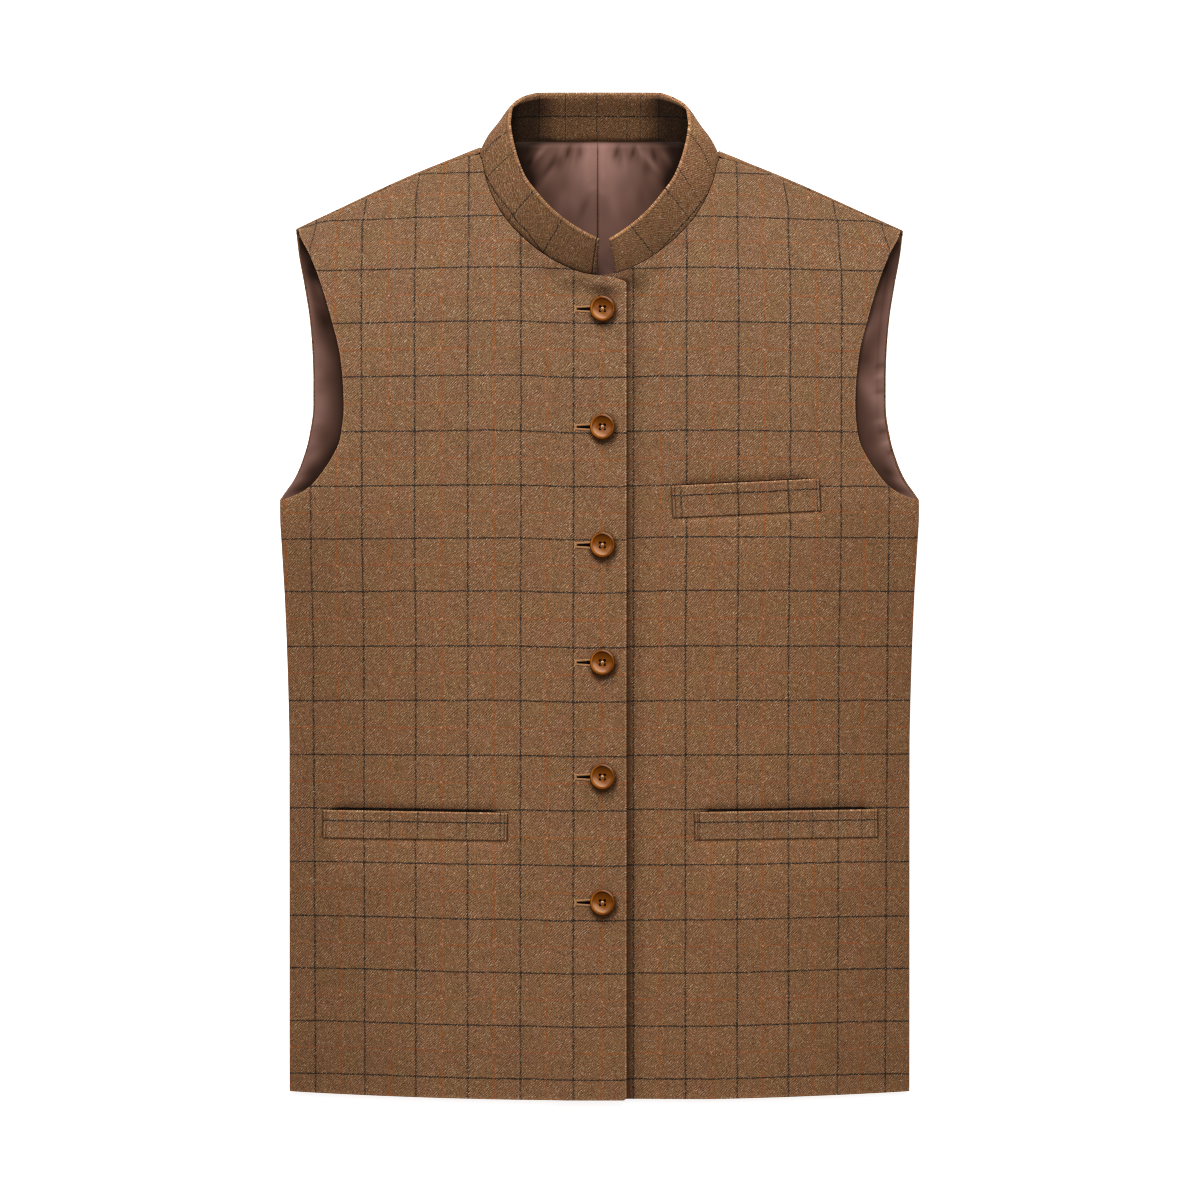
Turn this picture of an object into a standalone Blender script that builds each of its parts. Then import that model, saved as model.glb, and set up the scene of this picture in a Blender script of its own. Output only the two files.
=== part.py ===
"""Band-collar waistcoat in checked tweed, buttoned and laid flat on its back.

Frame: +X is the wearer's left, +Y runs from the hem to the collar, +Z is up. The back lies on z = 0, and the
origin is under the middle of the outline. Sizes below are millimetres, and meshes are built in metres.

Each panel is a grid of points on its outer face, worked out from the tables, and a wall of its own thickness
behind that face. Panels meet with a gap of GAP along their seams.
"""

import math

import bmesh
import bpy
import numpy as np

for old in list(bpy.data.objects):
    bpy.data.objects.remove(old, do_unlink=True)

# ---------------------------------------------------------------- driving sizes
GAP = 0.3  # between pieces at a seam
SHOULDER_GAP = 0.4  # across the shoulder seam, which turns with the fold
BACK_WALL = 1.6
FRONT_WALL = 2.0  # tweed, canvas and facing
COLLAR_WALL = 2.5  # both faces of the band and its stiffening
COLLAR_FOOT_WALL = 1.6  # where the band is pressed into the neck seam
COLLAR_FOLD_EASE = 0.6  # more room for the band where its seam turns over the shoulder fold
LINING_WALL = 1.0
WELT_WALL = 1.5

BODY_TOP = 8.0  # height of the fronts' outer face over the floor
HEM_TOP = 5.5  # the same at the hem, where nothing fills the body
HEM_EASE = 45.0  # length over which it settles
SHOULDER_ROLL = BODY_TOP / 2  # radius of the cloth where the back folds over the shoulder
SIDE_SEAM_TOP = 3.9  # height of the side seam
SIDE_SEAM_HEM = 3.0
FRONT_EDGE_ROLL = 12.0  # width over which a front bends down to the side seam
BACK_EDGE_ROLL = 9.0  # width over which the back bends up to it
ARMHOLE_EDGE = 7.0  # height of a front's free armhole edge
UNDERARM = 73.3  # y of the top of the side seam

HEM_CENTRE = -383.2  # the hem dips at the middle
HEM_RISE = 7.0  # and rises to the side seams
BACK_HEM_SHORT = 2.0

LAP = 20.0  # each front runs this far past the centre
LAP_EASE_OVER = (-46.0, -23.0)  # where the upper front rises over the lower one
LAP_EASE_UNDER = (23.0, 50.0)  # where the lower front dips under the upper one
LAP_DIP = 1.5
LAP_STEP = 2.6  # outer face to outer face, a wall and a gap with ease
NECK_POINT = 91.4  # x where the shoulder seam meets the collar

BUTTON_D = 19.0
BUTTON_H = 3.4
BUTTON_X = 2.2
BUTTON_HOLE_D = 1.9
BUTTON_HOLE_SPACING = 3.4
BUTTONHOLE = (-18.0, 2.5)  # from its outer end to under the button
BUTTONHOLE_W = 0.9


def columns(names, *rows):
    """A table with named columns."""
    return {name: np.array([row[i] for row in rows], float) for i, name in enumerate(names.split())}


# Half width of the body at heights from the hem to the underarm.
SIDE = columns(
    "y half",
    (-384.0, 236.0),
    (-115.0, 236.1),
    (-79.0, 236.8),
    (-40.0, 238.0),
    (0.0, 239.7),
    (35.0, 241.8),
    (60.0, 243.2),
    (UNDERARM, 243.3),
)

# The armhole edge of the front and of the back, from the underarm to the shoulder.
ARMHOLE = columns(
    "y front back",
    (UNDERARM, 243.1, 243.3),
    (76.0, 234.6, 241.6),
    (80.0, 226.2, 238.9),
    (86.0, 218.3, 234.6),
    (94.0, 211.8, 229.9),
    (105.0, 204.4, 225.6),
    (120.0, 197.6, 221.2),
    (146.0, 194.9, 217.2),
    (165.0, 195.7, 217.0),
    (185.0, 198.0, 217.6),
    (210.0, 204.1, 220.0),
    (236.0, 211.7, 224.0),
    (261.0, 221.2, 228.6),
    (275.0, 228.0, 230.5),
    (282.0, 229.6, 231.0),
)

# The shoulder: the fold that gives the outline, how much lower it is on the wearer's left, and how far the
# seam lies in front of the fold.
SHOULDER = columns(
    "x fold lower_left seam",
    (0.0, 366.0, 2.8, 5.2),
    (75.0, 347.9, 2.8, 5.2),
    (NECK_POINT, 341.5, 2.8, 5.2),
    (102.0, 337.3, 2.8, 3.5),
    (113.0, 332.8, 2.9, 2.3),
    (136.0, 323.6, 3.0, 2.0),
    (167.0, 309.8, 2.6, 1.7),
    (197.0, 295.5, 2.0, 1.3),
    (224.0, 282.8, 1.4, 1.0),
    (231.0, 279.4, 1.2, 1.0),
)

# The back's neckline on its flat pattern: x, and the height of the cut with the shoulder rolled out flat.
BACK_NECK = columns(
    "x w",
    (0.0, 345.2),
    (55.0, 345.2),
    (66.0, 344.9),
    (75.0, 344.0),
    (82.0, 343.4),
    (87.0, 344.3),
    (90.0, 347.6),
    (NECK_POINT, 352.0),
)

# The fronts' neckline from the shoulder seam to the centre.
FRONT_NECK = columns(
    "x y",
    (NECK_POINT, 336.3),
    (89.3, 331.4),
    (87.2, 321.0),
    (81.3, 304.0),
    (71.4, 287.3),
    (59.6, 274.4),
    (43.3, 261.0),
    (28.1, 252.0),
    (12.4, 246.0),
    (0.0, 244.0),
)

# The collar band, a row for each section from the centre back to the front end: where its foot is on the
# neck seam, its top edge, and how far it swells out at half height.
COLLAR = columns(
    "foot top_x top_y top_z swell",
    (0.0, 0.0, 383.6, 1.7, 0.0),
    (44.0, 44.0, 383.5, 2.1, 0.0),
    (58.0, 55.6, 381.6, 4.6, 0.8),
    (69.0, 63.2, 377.6, 9.2, 2.6),
    (78.0, 67.4, 371.8, 14.2, 4.2),
    (90.0, 68.0, 362.0, 19.4, 3.7),
    (101.0, 67.0, 352.0, 22.6, 2.4),
    (116.0, 63.8, 337.5, 24.6, 1.2),
    (134.0, 57.0, 319.0, 25.8, 0.7),
    (150.0, 48.2, 307.0, 26.8, 0.6),
    (170.0, 37.8, 295.2, 27.8, 0.6),
    (190.0, 27.0, 286.0, 28.4, 0.6),
    (210.0, 15.0, 278.0, 28.8, 0.5),
    (238.0, -2.0, 269.0, 29.2, 0.4),
)
COLLAR_END = {-1: 2.6, 1: 12.2}  # distance of each front end's foot from the centre, by side
COLLAR_TOP_END = {-1: 0.2, 1: 7.4}

# The lining's upper edge, which meets the collar band between the fronts and stays clear of the shoulder fold.
LINING_TOP = columns("x y", (0.0, 344.8), (64.0, 344.6), (71.0, 342.0), (78.0, 338.0), (NECK_POINT, 333.0), (231.0, 272.0))
LINING_HEM = 20.0  # the lining stops this far above the back's hem
LINING_RIM = 2.2  # tweed that shows round the armhole outside the lining

WELTS = {
    "chest_welt": {"side": 1, "x": 111.4, "y": 75.0, "length": 113.0, "height": 25.0, "tilt": 2.8},
    "lower_welt_right": {"side": -1, "x": -140.1, "y": -173.1, "length": 140.6, "height": 22.4, "tilt": -0.94},
    "lower_welt_left": {"side": 1, "x": 141.8, "y": -172.7, "length": 139.6, "height": 22.4, "tilt": 0.9},
}
BUTTON_Y = (218.5, 128.8, 39.1, -50.2, -137.2, -232.6)

# ---------------------------------------------------------------- curves and surfaces


def smooth(t):
    """0 to 1 with an easy start and end."""
    t = min(max(t, 0.0), 1.0)
    return t * t * (3 - 2 * t)


def read(table, key, value, at):
    """The value column at a place along the key column, on a smooth curve that never overshoots its rows."""
    x, y = table[key], table[value]
    if x[0] > x[-1]:
        x, y = x[::-1], y[::-1]
    at = min(max(at, x[0]), x[-1])
    i = int(min(np.searchsorted(x, at, side="right"), len(x) - 1)) - 1
    step, rise = np.diff(x), np.diff(y) / np.diff(x)

    def slope(k):
        if k == 0:
            return rise[0]
        if k == len(x) - 1:
            return rise[-1]
        if rise[k - 1] * rise[k] <= 0:
            return 0.0
        a, b = 2 * step[k] + step[k - 1], step[k] + 2 * step[k - 1]
        return (a + b) / (a / rise[k - 1] + b / rise[k])

    h, t = step[i], (at - x[i]) / step[i]
    return (
        (1 + 2 * t) * (1 - t) ** 2 * y[i]
        + t * (1 - t) ** 2 * h * slope(i)
        + t * t * (3 - 2 * t) * y[i + 1]
        + t * t * (t - 1) * h * slope(i + 1)
    )


def hem_y(x):
    return HEM_CENTRE + HEM_RISE * (x / 236.0) ** 2


def outline(y, panel):
    """Half width of a panel at y: the side seam, then the armhole."""
    return read(SIDE, "y", "half", y) if y <= UNDERARM else read(ARMHOLE, "y", panel, y)


def fold_y(x, side):
    fold = read(SHOULDER, "x", "fold", abs(x))
    return fold - (read(SHOULDER, "x", "lower_left", abs(x)) if side > 0 else 0.0)


def seam_y(x, side):
    return fold_y(x, side) - read(SHOULDER, "x", "seam", abs(x))


def edge_curve(e, width):
    """1 at an edge and 0 from width inwards, on a quarter round."""
    if e >= width:
        return 0.0
    return 1 - math.sqrt(max(0.0, 1 - (1 - max(e, 0.0) / width) ** 2))


def side_seam_z(y):
    return SIDE_SEAM_TOP - (SIDE_SEAM_TOP - SIDE_SEAM_HEM) * smooth((hem_y(236.0) + HEM_EASE - y) / HEM_EASE)


def front_z(x, y, side):
    """Height of a front's outer face."""
    near_hem = smooth((hem_y(x) + HEM_EASE - y) / HEM_EASE)
    z = BODY_TOP - (BODY_TOP - HEM_TOP) * near_hem
    dip = LAP_DIP * (1 - 0.87 * near_hem)
    if side < 0:
        t = smooth((x - LAP_EASE_OVER[0]) / (LAP_EASE_OVER[1] - LAP_EASE_OVER[0]))
        z += (LAP_STEP - dip) * t
    else:
        t = smooth((LAP_EASE_UNDER[1] - x) / (LAP_EASE_UNDER[1] - LAP_EASE_UNDER[0]))
        z -= dip * t
    open_edge = smooth((y - UNDERARM) / 14.0)
    free_z = ARMHOLE_EDGE + (BODY_TOP - ARMHOLE_EDGE) * smooth((y - 248.0) / 22.0)
    edge_z = (side_seam_z(y) + GAP / 2) * (1 - open_edge) + free_z * open_edge
    width = FRONT_EDGE_ROLL - 6.0 * open_edge
    z -= (z - edge_z) * edge_curve(outline(y, "front") - abs(x), width)
    d = fold_y(x, side) - y
    if d < SHOULDER_ROLL:
        roll = SHOULDER_ROLL + math.sqrt(max(0.0, SHOULDER_ROLL**2 - (SHOULDER_ROLL - max(d, 0.0)) ** 2))
        z = min(z, z - BODY_TOP + roll)
    return z


def back_point(x, w, side):
    """A point of the back's outer face from its flat pattern: on the floor, then round the shoulder fold."""
    r = SHOULDER_ROLL
    start = fold_y(x, side) - r
    a = w - start
    if a <= 0:
        return x, w, 0.0
    if a < math.pi * r:
        return x, start + r * math.sin(a / r), r - r * math.cos(a / r)
    return x, start - (a - math.pi * r), 2 * r


def seam_w(x, side):
    """Height of the shoulder seam on the back's flat pattern."""
    r, d = SHOULDER_ROLL, read(SHOULDER, "x", "seam", abs(x))
    turned = r * (math.pi - math.asin(1 - d / r)) if d < r else math.pi * r + d - r
    return fold_y(x, side) - r + turned - SHOULDER_GAP / 2


def back_top_w(x, side):
    if abs(x) >= NECK_POINT:
        return seam_w(x, side)
    lower = read(SHOULDER, "x", "lower_left", abs(x)) if side > 0 else 0.0
    return read(BACK_NECK, "x", "w", abs(x)) - lower * smooth((abs(x) - 62.0) / 24.0)


def neck_y_shift(y, side):
    return -2.8 * smooth((y - 296.0) / 36.0) if side > 0 else 0.0


def roll_normal(x, w, side):
    """Outward normal of the back on its flat pattern, which is also a front's along the shoulder seam."""
    r = SHOULDER_ROLL
    a = min(max(w - (fold_y(x, side) - r), 0.0), math.pi * r) / r
    lean = (fold_y(abs(x) + 0.5, side) - fold_y(abs(x) - 0.5, side)) * (1 if x > 0 else -1)
    n = np.array([-lean * math.sin(a), math.sin(a), -math.cos(a)])
    return n / np.linalg.norm(n)


def front_normal(x, y, side):
    h = 0.4
    n = np.array([front_z(x - h, y, side) - front_z(x + h, y, side), front_z(x, y - h, side) - front_z(x, y + h, side), 2 * h])
    return n / np.linalg.norm(n)


def front_neck_points(side, stations, end_x=None):
    """Points of the fronts' neckline at distances from the shoulder seam, then one where it crosses x = end_x."""
    rows = list(zip(FRONT_NECK["x"], FRONT_NECK["y"]))
    rows += [(-8.0, 243.3), (-15.0, 242.6), (-LAP, 242.0)]
    x = np.array([r[0] for r in rows])
    y = np.array([r[1] for r in rows])
    t = np.concatenate([[0], np.cumsum(np.hypot(np.diff(x), np.diff(y)))])
    fine = np.linspace(0, t[-1], 400)
    fx = np.array([read({"t": t, "v": x}, "t", "v", f) for f in fine])
    fy = np.array([read({"t": t, "v": y}, "t", "v", f) for f in fine])
    at = list(stations)
    if end_x is not None:
        at.append(float(np.interp(-end_x, -fx, fine)))
    return [(side * float(np.interp(a, fine, fx)), float(np.interp(a, fine, fy)) + neck_y_shift(float(np.interp(a, fine, fy)), side)) for a in at]


def neck_stations(side):
    """Distances along a front's neckline from the shoulder seam to the collar's front end."""
    fine = np.arange(100.0, 150.0, 0.25)
    xs = [side * x for x, _ in front_neck_points(side, fine)]
    end = float(np.interp(-COLLAR_END[side], [-x for x in xs], fine))
    return [s for s in NECK_STATIONS if s < end - 6.0] + [end]


# ---------------------------------------------------------------- meshes


def material(name, rgb, roughness):
    mat = bpy.data.materials.new(name)
    mat.use_nodes = True
    shader = mat.node_tree.nodes["Principled BSDF"]
    shader.inputs["Base Color"].default_value = (*rgb, 1.0)
    shader.inputs["Roughness"].default_value = roughness
    shader.inputs["Metallic"].default_value = 0.0
    mat.diffuse_color = (*rgb, 1.0)
    return mat


TWEED = material("tweed", (0.203, 0.101, 0.047), 0.92)
TWEED_COLLAR = material("tweed_collar", (0.190, 0.095, 0.045), 0.92)
SATIN = material("satin_lining", (0.142, 0.080, 0.066), 0.38)
BUTTON = material("button_brown", (0.270, 0.087, 0.018), 0.28)


def normals(grid):
    """Unit normals of a grid of points, from its neighbours along both ways."""
    down = np.empty_like(grid)
    down[1:-1] = grid[2:] - grid[:-2]
    down[0], down[-1] = grid[1] - grid[0], grid[-1] - grid[-2]
    across = np.empty_like(grid)
    across[:, 1:-1] = grid[:, 2:] - grid[:, :-2]
    across[:, 0], across[:, -1] = grid[:, 1] - grid[:, 0], grid[:, -1] - grid[:, -2]
    n = np.cross(across, down)
    return n / np.linalg.norm(n, axis=2, keepdims=True)


def finish(name, bm, mat, smooth_angle=35.0):
    bmesh.ops.recalc_face_normals(bm, faces=bm.faces)
    mesh = bpy.data.meshes.new(name)
    bm.to_mesh(mesh)
    bm.free()
    mesh.materials.append(mat)
    mesh.shade_smooth()
    mesh.set_sharp_from_angle(angle=math.radians(smooth_angle))
    obj = bpy.data.objects.new(name, mesh)
    bpy.context.scene.collection.objects.link(obj)
    return obj


def shell(name, grid, wall, mat, outward, edge_normals=None, lowest_inside=None):
    """A closed wall behind a grid of outer points. outward is a direction that the middle point's normal faces, and
    edge_normals gives the normal at points of a seam, so that the two rims of the seam are parallel, and
    lowest_inside(x, y) is a height that the inner face stays over."""
    grid = np.array(grid, float)
    n = normals(grid)
    if np.dot(n[n.shape[0] // 2, n.shape[1] // 2], outward) < 0:
        n = -n
    for (j, i), normal in (edge_normals or {}).items():
        n[j, i] = normal
    inner = grid - n * np.broadcast_to(wall, grid.shape[:2])[..., None]
    if lowest_inside:
        for j, i in np.ndindex(inner.shape[:2]):
            inner[j, i, 2] = max(inner[j, i, 2], lowest_inside(*inner[j, i, :2]))
    rows, cols = grid.shape[:2]
    bm = bmesh.new()
    face = [[bm.verts.new(p * 0.001) for p in row] for row in grid]
    back = [[bm.verts.new(p * 0.001) for p in row] for row in inner]
    for j in range(rows - 1):
        for i in range(cols - 1):
            bm.faces.new((face[j][i], face[j][i + 1], face[j + 1][i + 1], face[j + 1][i]))
            bm.faces.new((back[j][i], back[j + 1][i], back[j + 1][i + 1], back[j][i + 1]))
    rim = [(0, i) for i in range(cols)] + [(j, cols - 1) for j in range(1, rows)]
    rim += [(rows - 1, i) for i in range(cols - 2, -1, -1)] + [(j, 0) for j in range(rows - 2, 0, -1)]
    for (a, b), (c, d) in zip(rim, rim[1:] + rim[:1]):
        bm.faces.new((face[a][b], back[a][b], back[c][d], face[c][d]))
    return finish(name, bm, mat)


def quarter(width, count):
    """Distances from an edge, close together at the edge."""
    return [width * (1 - math.cos(math.radians(90 * k / count))) for k in range(count + 1)]


# ---------------------------------------------------------------- the back, one piece
NECK_STATIONS_X = [NECK_POINT, 90.7, 89.4, 87.2, 83.5, 78.0, 70.0, 57.0, 29.0, 0.0]  # on the back
NECK_STATIONS = [0.0, 5.0, 17.0, 30.0, 44.0, 58.0, 72.0, 87.0, 102.0, 117.0]  # along the fronts, from the shoulder
BODY_ROWS = [-334.0, -280.0, -190.0, -90.0, 10.0, 58.0, UNDERARM]


def build_back():
    band = quarter(BACK_EDGE_ROLL, 4)[:-1]
    tip = 230.9
    inner = [219.0, 195.0, 165.0, 136.0, 113.0, 102.0] + NECK_STATIONS_X
    tops = [tip - e for e in band] + inner
    full = hem_y(236.0) + BACK_HEM_SHORT
    heights = [full] + BODY_ROWS + [82.0, 92.0, 108.0, 132.0, 168.0, 212.0, 262.0]
    strip = 7
    half, ends = {}, {}
    for side in (-1, 1):
        columns_of_side = []
        start_tip = fold_y(tip, side) - SHOULDER_ROLL
        for k, top_x in enumerate(tops):
            w_end = back_top_w(top_x, side)
            rolled = seam_w(tip, side) - start_tip
            w_strip = w_end - max(rolled, 14.0 if top_x < tip - 12 else rolled)
            line = []
            for y in heights + [start_tip]:
                edge = outline(y, "back")
                part = (y - full) / (start_tip - full)
                if k < len(band):
                    x = edge - band[k]
                else:
                    x = top_x / (tip - BACK_EDGE_ROLL) * (edge - BACK_EDGE_ROLL)
                low = hem_y(x) + BACK_HEM_SHORT
                w = low + (w_strip - low) * part
                curl = side_seam_z(y) - GAP / 2
                curl *= edge_curve(edge - x, BACK_EDGE_ROLL) * (1 - smooth((y - 64.0) / 34.0))
                line.append((side * x, w, curl))
            for j in range(1, strip + 1):
                w = w_strip + (w_end - w_strip) * j / strip
                x = min(top_x, tip)
                line.append(tuple(back_point(side * x, w, side)))
            columns_of_side.append(line)
        half[side] = columns_of_side
        ends[side] = [roll_normal(side * x, back_top_w(x, side), side) for x in tops]
    whole = half[-1] + half[1][-2::-1]
    grid = np.array(whole).transpose(1, 0, 2)
    seams = {(grid.shape[0] - 1, i): n for i, n in enumerate(ends[-1] + ends[1][-2::-1])}
    for j, y in enumerate(heights):
        if y <= UNDERARM:
            seams[j, 0], seams[j, grid.shape[1] - 1] = (-1, 0, 0), (1, 0, 0)
    return shell("back", grid, BACK_WALL, TWEED, (0, 0, -1), seams)


# ---------------------------------------------------------------- the two fronts
def front_grid(side):
    band = quarter(FRONT_EDGE_ROLL, 4)
    lap_end = -LAP  # in units of side * x: the edge past the centre
    marks = [20.0, 4.0, -12.0, -23.0, -34.0, -46.0, -76.0, -106.0, -136.0, -166.0, -196.0]
    parts = [(m - (236.0 - FRONT_EDGE_ROLL) * -1) / (20.0 + 236.0 - FRONT_EDGE_ROLL) for m in marks][::-1]
    corner = 241.0
    rows = []
    body = [hem_y(236.0)] + BODY_ROWS
    rise = [76.0, 80.0, 86.0, 96.0, 112.0, 136.0, 165.0, 200.0, 232.0]
    bottom = hem_y(LAP)
    for y in body:
        part = (y - body[0]) / (UNDERARM - body[0])
        rows.append((y, (-lap_end * -1, bottom + (UNDERARM - bottom) * part)))
    for y in rise:
        part = (y - UNDERARM) / (rise[-1] - UNDERARM)
        rows.append((y, (-LAP, UNDERARM + (corner - 2.0 - UNDERARM) * part)))
    tip_y = seam_y(229.4, side) - SHOULDER_GAP / 2
    around = front_neck_points(side, neck_stations(side) + [neck_stations(side)[-1] + 9.0], -LAP + 1.2)[::-1]
    for k, (nx, ny) in enumerate(around):
        part = (k + 1) / len(around)
        rows.append((rise[-1] + (tip_y - rise[-1]) * (part if k < len(around) - 2 else (1.0 if k == len(around) - 1 else 0.95)), (side * nx, ny)))
    grid = []
    count = len(rows)
    for j, (yo, (ix, iy)) in enumerate(rows):
        xo = outline(yo, "front")
        up = j / (count - 1)
        line = []
        length = xo - ix
        steps = [e for e in band] + [FRONT_EDGE_ROLL + (length - FRONT_EDGE_ROLL) * p for p in parts[0:]]
        steps = sorted(set(round(s, 6) for s in steps))
        for e in steps:
            f = e / length
            x = xo - e
            y = yo + (iy - yo) * f
            chord_hem = body[0] + (bottom - body[0]) * f
            y += (hem_y(x) - chord_hem) * max(0.0, 1 - up * 2.2) ** 2 if up < 0.45 else 0.0
            if up > 0.62:
                sx = 229.4 + (NECK_POINT - 229.4) * f
                chord_top = tip_y + (rows[-1][1][1] - tip_y) * f
                y += (seam_y(sx, side) - SHOULDER_GAP / 2 - chord_top) * ((up - 0.62) / 0.38) ** 2
            line.append((side * x, y))
        grid.append(line)
    return grid


def build_front(side, name):
    plan = front_grid(side)
    grid = np.array([[(x, y, front_z(x, y, side)) for x, y in line] for line in plan])
    seams = {(len(plan) - 1, i): roll_normal(x, seam_w(x, side), side) for i, (x, y) in enumerate(plan[-1])}
    for j in range(1 + len(BODY_ROWS)):
        seams[j, 0] = (side, 0, 0)

    def over_back(x, y):
        seam = side_seam_z(y) + GAP / 2
        return seam + (BACK_WALL + LINING_WALL + 2 * GAP + 0.2 - seam) * smooth((y - UNDERARM) / 5.0)

    return shell(name, grid, FRONT_WALL, TWEED, (0, 0, 1), seams, over_back)


def cut_buttonholes(front):
    for k, y in enumerate(BUTTON_Y):
        bm = bmesh.new()
        bmesh.ops.create_cube(bm, size=1.0)
        length, middle = BUTTONHOLE[1] - BUTTONHOLE[0], (BUTTONHOLE[0] + BUTTONHOLE[1]) / 2
        for v in bm.verts:
            v.co = ((middle + v.co.x * length) * 0.001, (y + v.co.y * BUTTONHOLE_W) * 0.001, (8.0 + v.co.z * 8.0) * 0.001)
        cutter = finish(f"buttonhole_cutter_{k + 1}", bm, TWEED)
        cutter.hide_render = True
        cutter.display_type = "WIRE"
        cut = front.modifiers.new(f"buttonhole_{k + 1}", "BOOLEAN")
        cut.operation = "DIFFERENCE"
        cut.solver = "EXACT"
        cut.object = cutter


# ---------------------------------------------------------------- the lining of the back, in two halves
def build_lining(side, name):
    tip = 272.0
    bottom = hem_y(236.0) + BACK_HEM_SHORT + LINING_HEM
    heights = [bottom, -180.0, -20.0, 60.0, 80.0, 92.0, 106.0, 126.0, 150.0, 190.0, 238.0, tip]
    tops = [230.0, 200.0, 165.0, 130.0, NECK_POINT, 79.0, 72.0, 66.0, 40.0, 0.0]
    grid = []
    for y in heights:
        part = (y - bottom) / (tip - bottom)
        inset = LINING_RIM + 8.0 * (1 - smooth((y - 70.0) / 34.0))
        edge = outline(y, "back") - inset
        line = []
        for top_x in tops:
            x = max(GAP / 2, top_x / 230.0 * edge)
            low = hem_y(x) + BACK_HEM_SHORT + LINING_HEM
            high = read(LINING_TOP, "x", "y", top_x)
            high -= neck_y_shift(330.0, side) * -1 * smooth((top_x - 66.0) / 20.0)
            line.append((side * x, low + (high - low) * part, BACK_WALL + GAP + LINING_WALL))
        grid.append(line)
    return shell(name, np.array(grid), LINING_WALL, SATIN, (0, 0, 1))


# ---------------------------------------------------------------- the collar band
def neck_seam(side):
    """Stations of the neck seam from the centre back to the front end: length along it, points and outward normals."""
    points, facing = [], []
    for x in NECK_STATIONS_X[::-1]:
        w = back_top_w(x, side)
        points.append(back_point(side * x, w, side))
        facing.append(roll_normal(side * x, w, side))
    for x, y in front_neck_points(side, neck_stations(side)[1:]):
        points.append((x, y, front_z(x, y, side)))
        facing.append(front_normal(x, y, side))
    points, facing = np.array(points), np.array(facing)
    return np.concatenate([[0], np.cumsum(np.linalg.norm(np.diff(points, axis=0), axis=1))]), points, facing


def collar_section(side, s, total, seam_point, along, facing, levels):
    """Points across the band, foot to top edge, at length s along the neck seam."""
    at = s
    if s > 130.0:  # the last stretch runs to this side's own front end
        end_at = np.interp(-COLLAR_TOP_END[side], -COLLAR["top_x"][5:], COLLAR["foot"][5:])
        at = 130.0 + (end_at - 130.0) * (s - 130.0) / (total - 130.0)
    top = np.array([side * read(COLLAR, "foot", "top_x", at), read(COLLAR, "foot", "top_y", at), read(COLLAR, "foot", "top_z", at)])
    top[1] += neck_y_shift(top[1] - 20.0, side) * 0.5 * smooth((s - 44.0) / 20.0)
    middle = (seam_point + top) / 2
    lift = smooth((s - 100.0) / 30.0)
    out = np.array([side * 0.83, 0.56, 0.0]) * (1 - lift) + np.array([side * 0.45, -0.35, 0.82]) * lift
    middle = middle + out * read(COLLAR, "foot", "swell", at)
    middle[2] -= 0.24 * (top[2] - seam_point[2]) * (1 - smooth((s - 76.0) / 22.0))
    away = middle - seam_point
    away = away - along * np.dot(away, along) - facing * np.dot(away, facing)
    in_fold = math.hypot(facing[0], facing[1]) * (1 - smooth((s - 100.0) / 10.0))
    foot = seam_point + away / np.linalg.norm(away) * (GAP + 0.05 + COLLAR_FOLD_EASE * in_fold)
    return [foot * (1 - v) * (1 - 2 * v) + middle * 4 * v * (1 - v) + top * v * (2 * v - 1) for v in levels]


def build_collar():
    levels = [0.0, 0.25, 0.5, 0.75, 1.0]
    sides, rims = {}, {}
    for side in (-1, 1):
        length, points, facing = neck_seam(side)
        along = np.gradient(points, axis=0)
        along[0] = (side, 0, 0)
        along = along / np.linalg.norm(along, axis=1, keepdims=True)
        sides[side] = [
            collar_section(side, s, length[-1], p, t, n, levels) for s, p, t, n in zip(length, points, along, facing)
        ]
        rims[side] = list(facing)
    whole = sides[-1][::-1] + sides[1][1:]
    foot = {(0, i): n / np.linalg.norm(n) for i, n in enumerate(rims[-1][::-1] + rims[1][1:])}
    wall = np.array([[COLLAR_FOOT_WALL]] + [[COLLAR_WALL]] * (len(levels) - 1))
    return shell("collar", np.array(whole).transpose(1, 0, 2), wall, TWEED_COLLAR, (0, 0, -1), foot)


# ---------------------------------------------------------------- pocket welts, laid on the fronts
def build_welt(name, w):
    turn = math.radians(w["tilt"])
    grid = []
    for v in np.linspace(-0.5, 0.5, 4):
        line = []
        for u in np.linspace(-0.5, 0.5, 13):
            a, b = u * w["length"], v * w["height"]
            x = w["x"] + a * math.cos(turn) - b * math.sin(turn)
            y = w["y"] + a * math.sin(turn) + b * math.cos(turn)
            line.append((x, y, front_z(x, y, w["side"]) + GAP + WELT_WALL))
        grid.append(line)
    return shell(name, np.array(grid), WELT_WALL, TWEED, (0, 0, 1))


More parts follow.
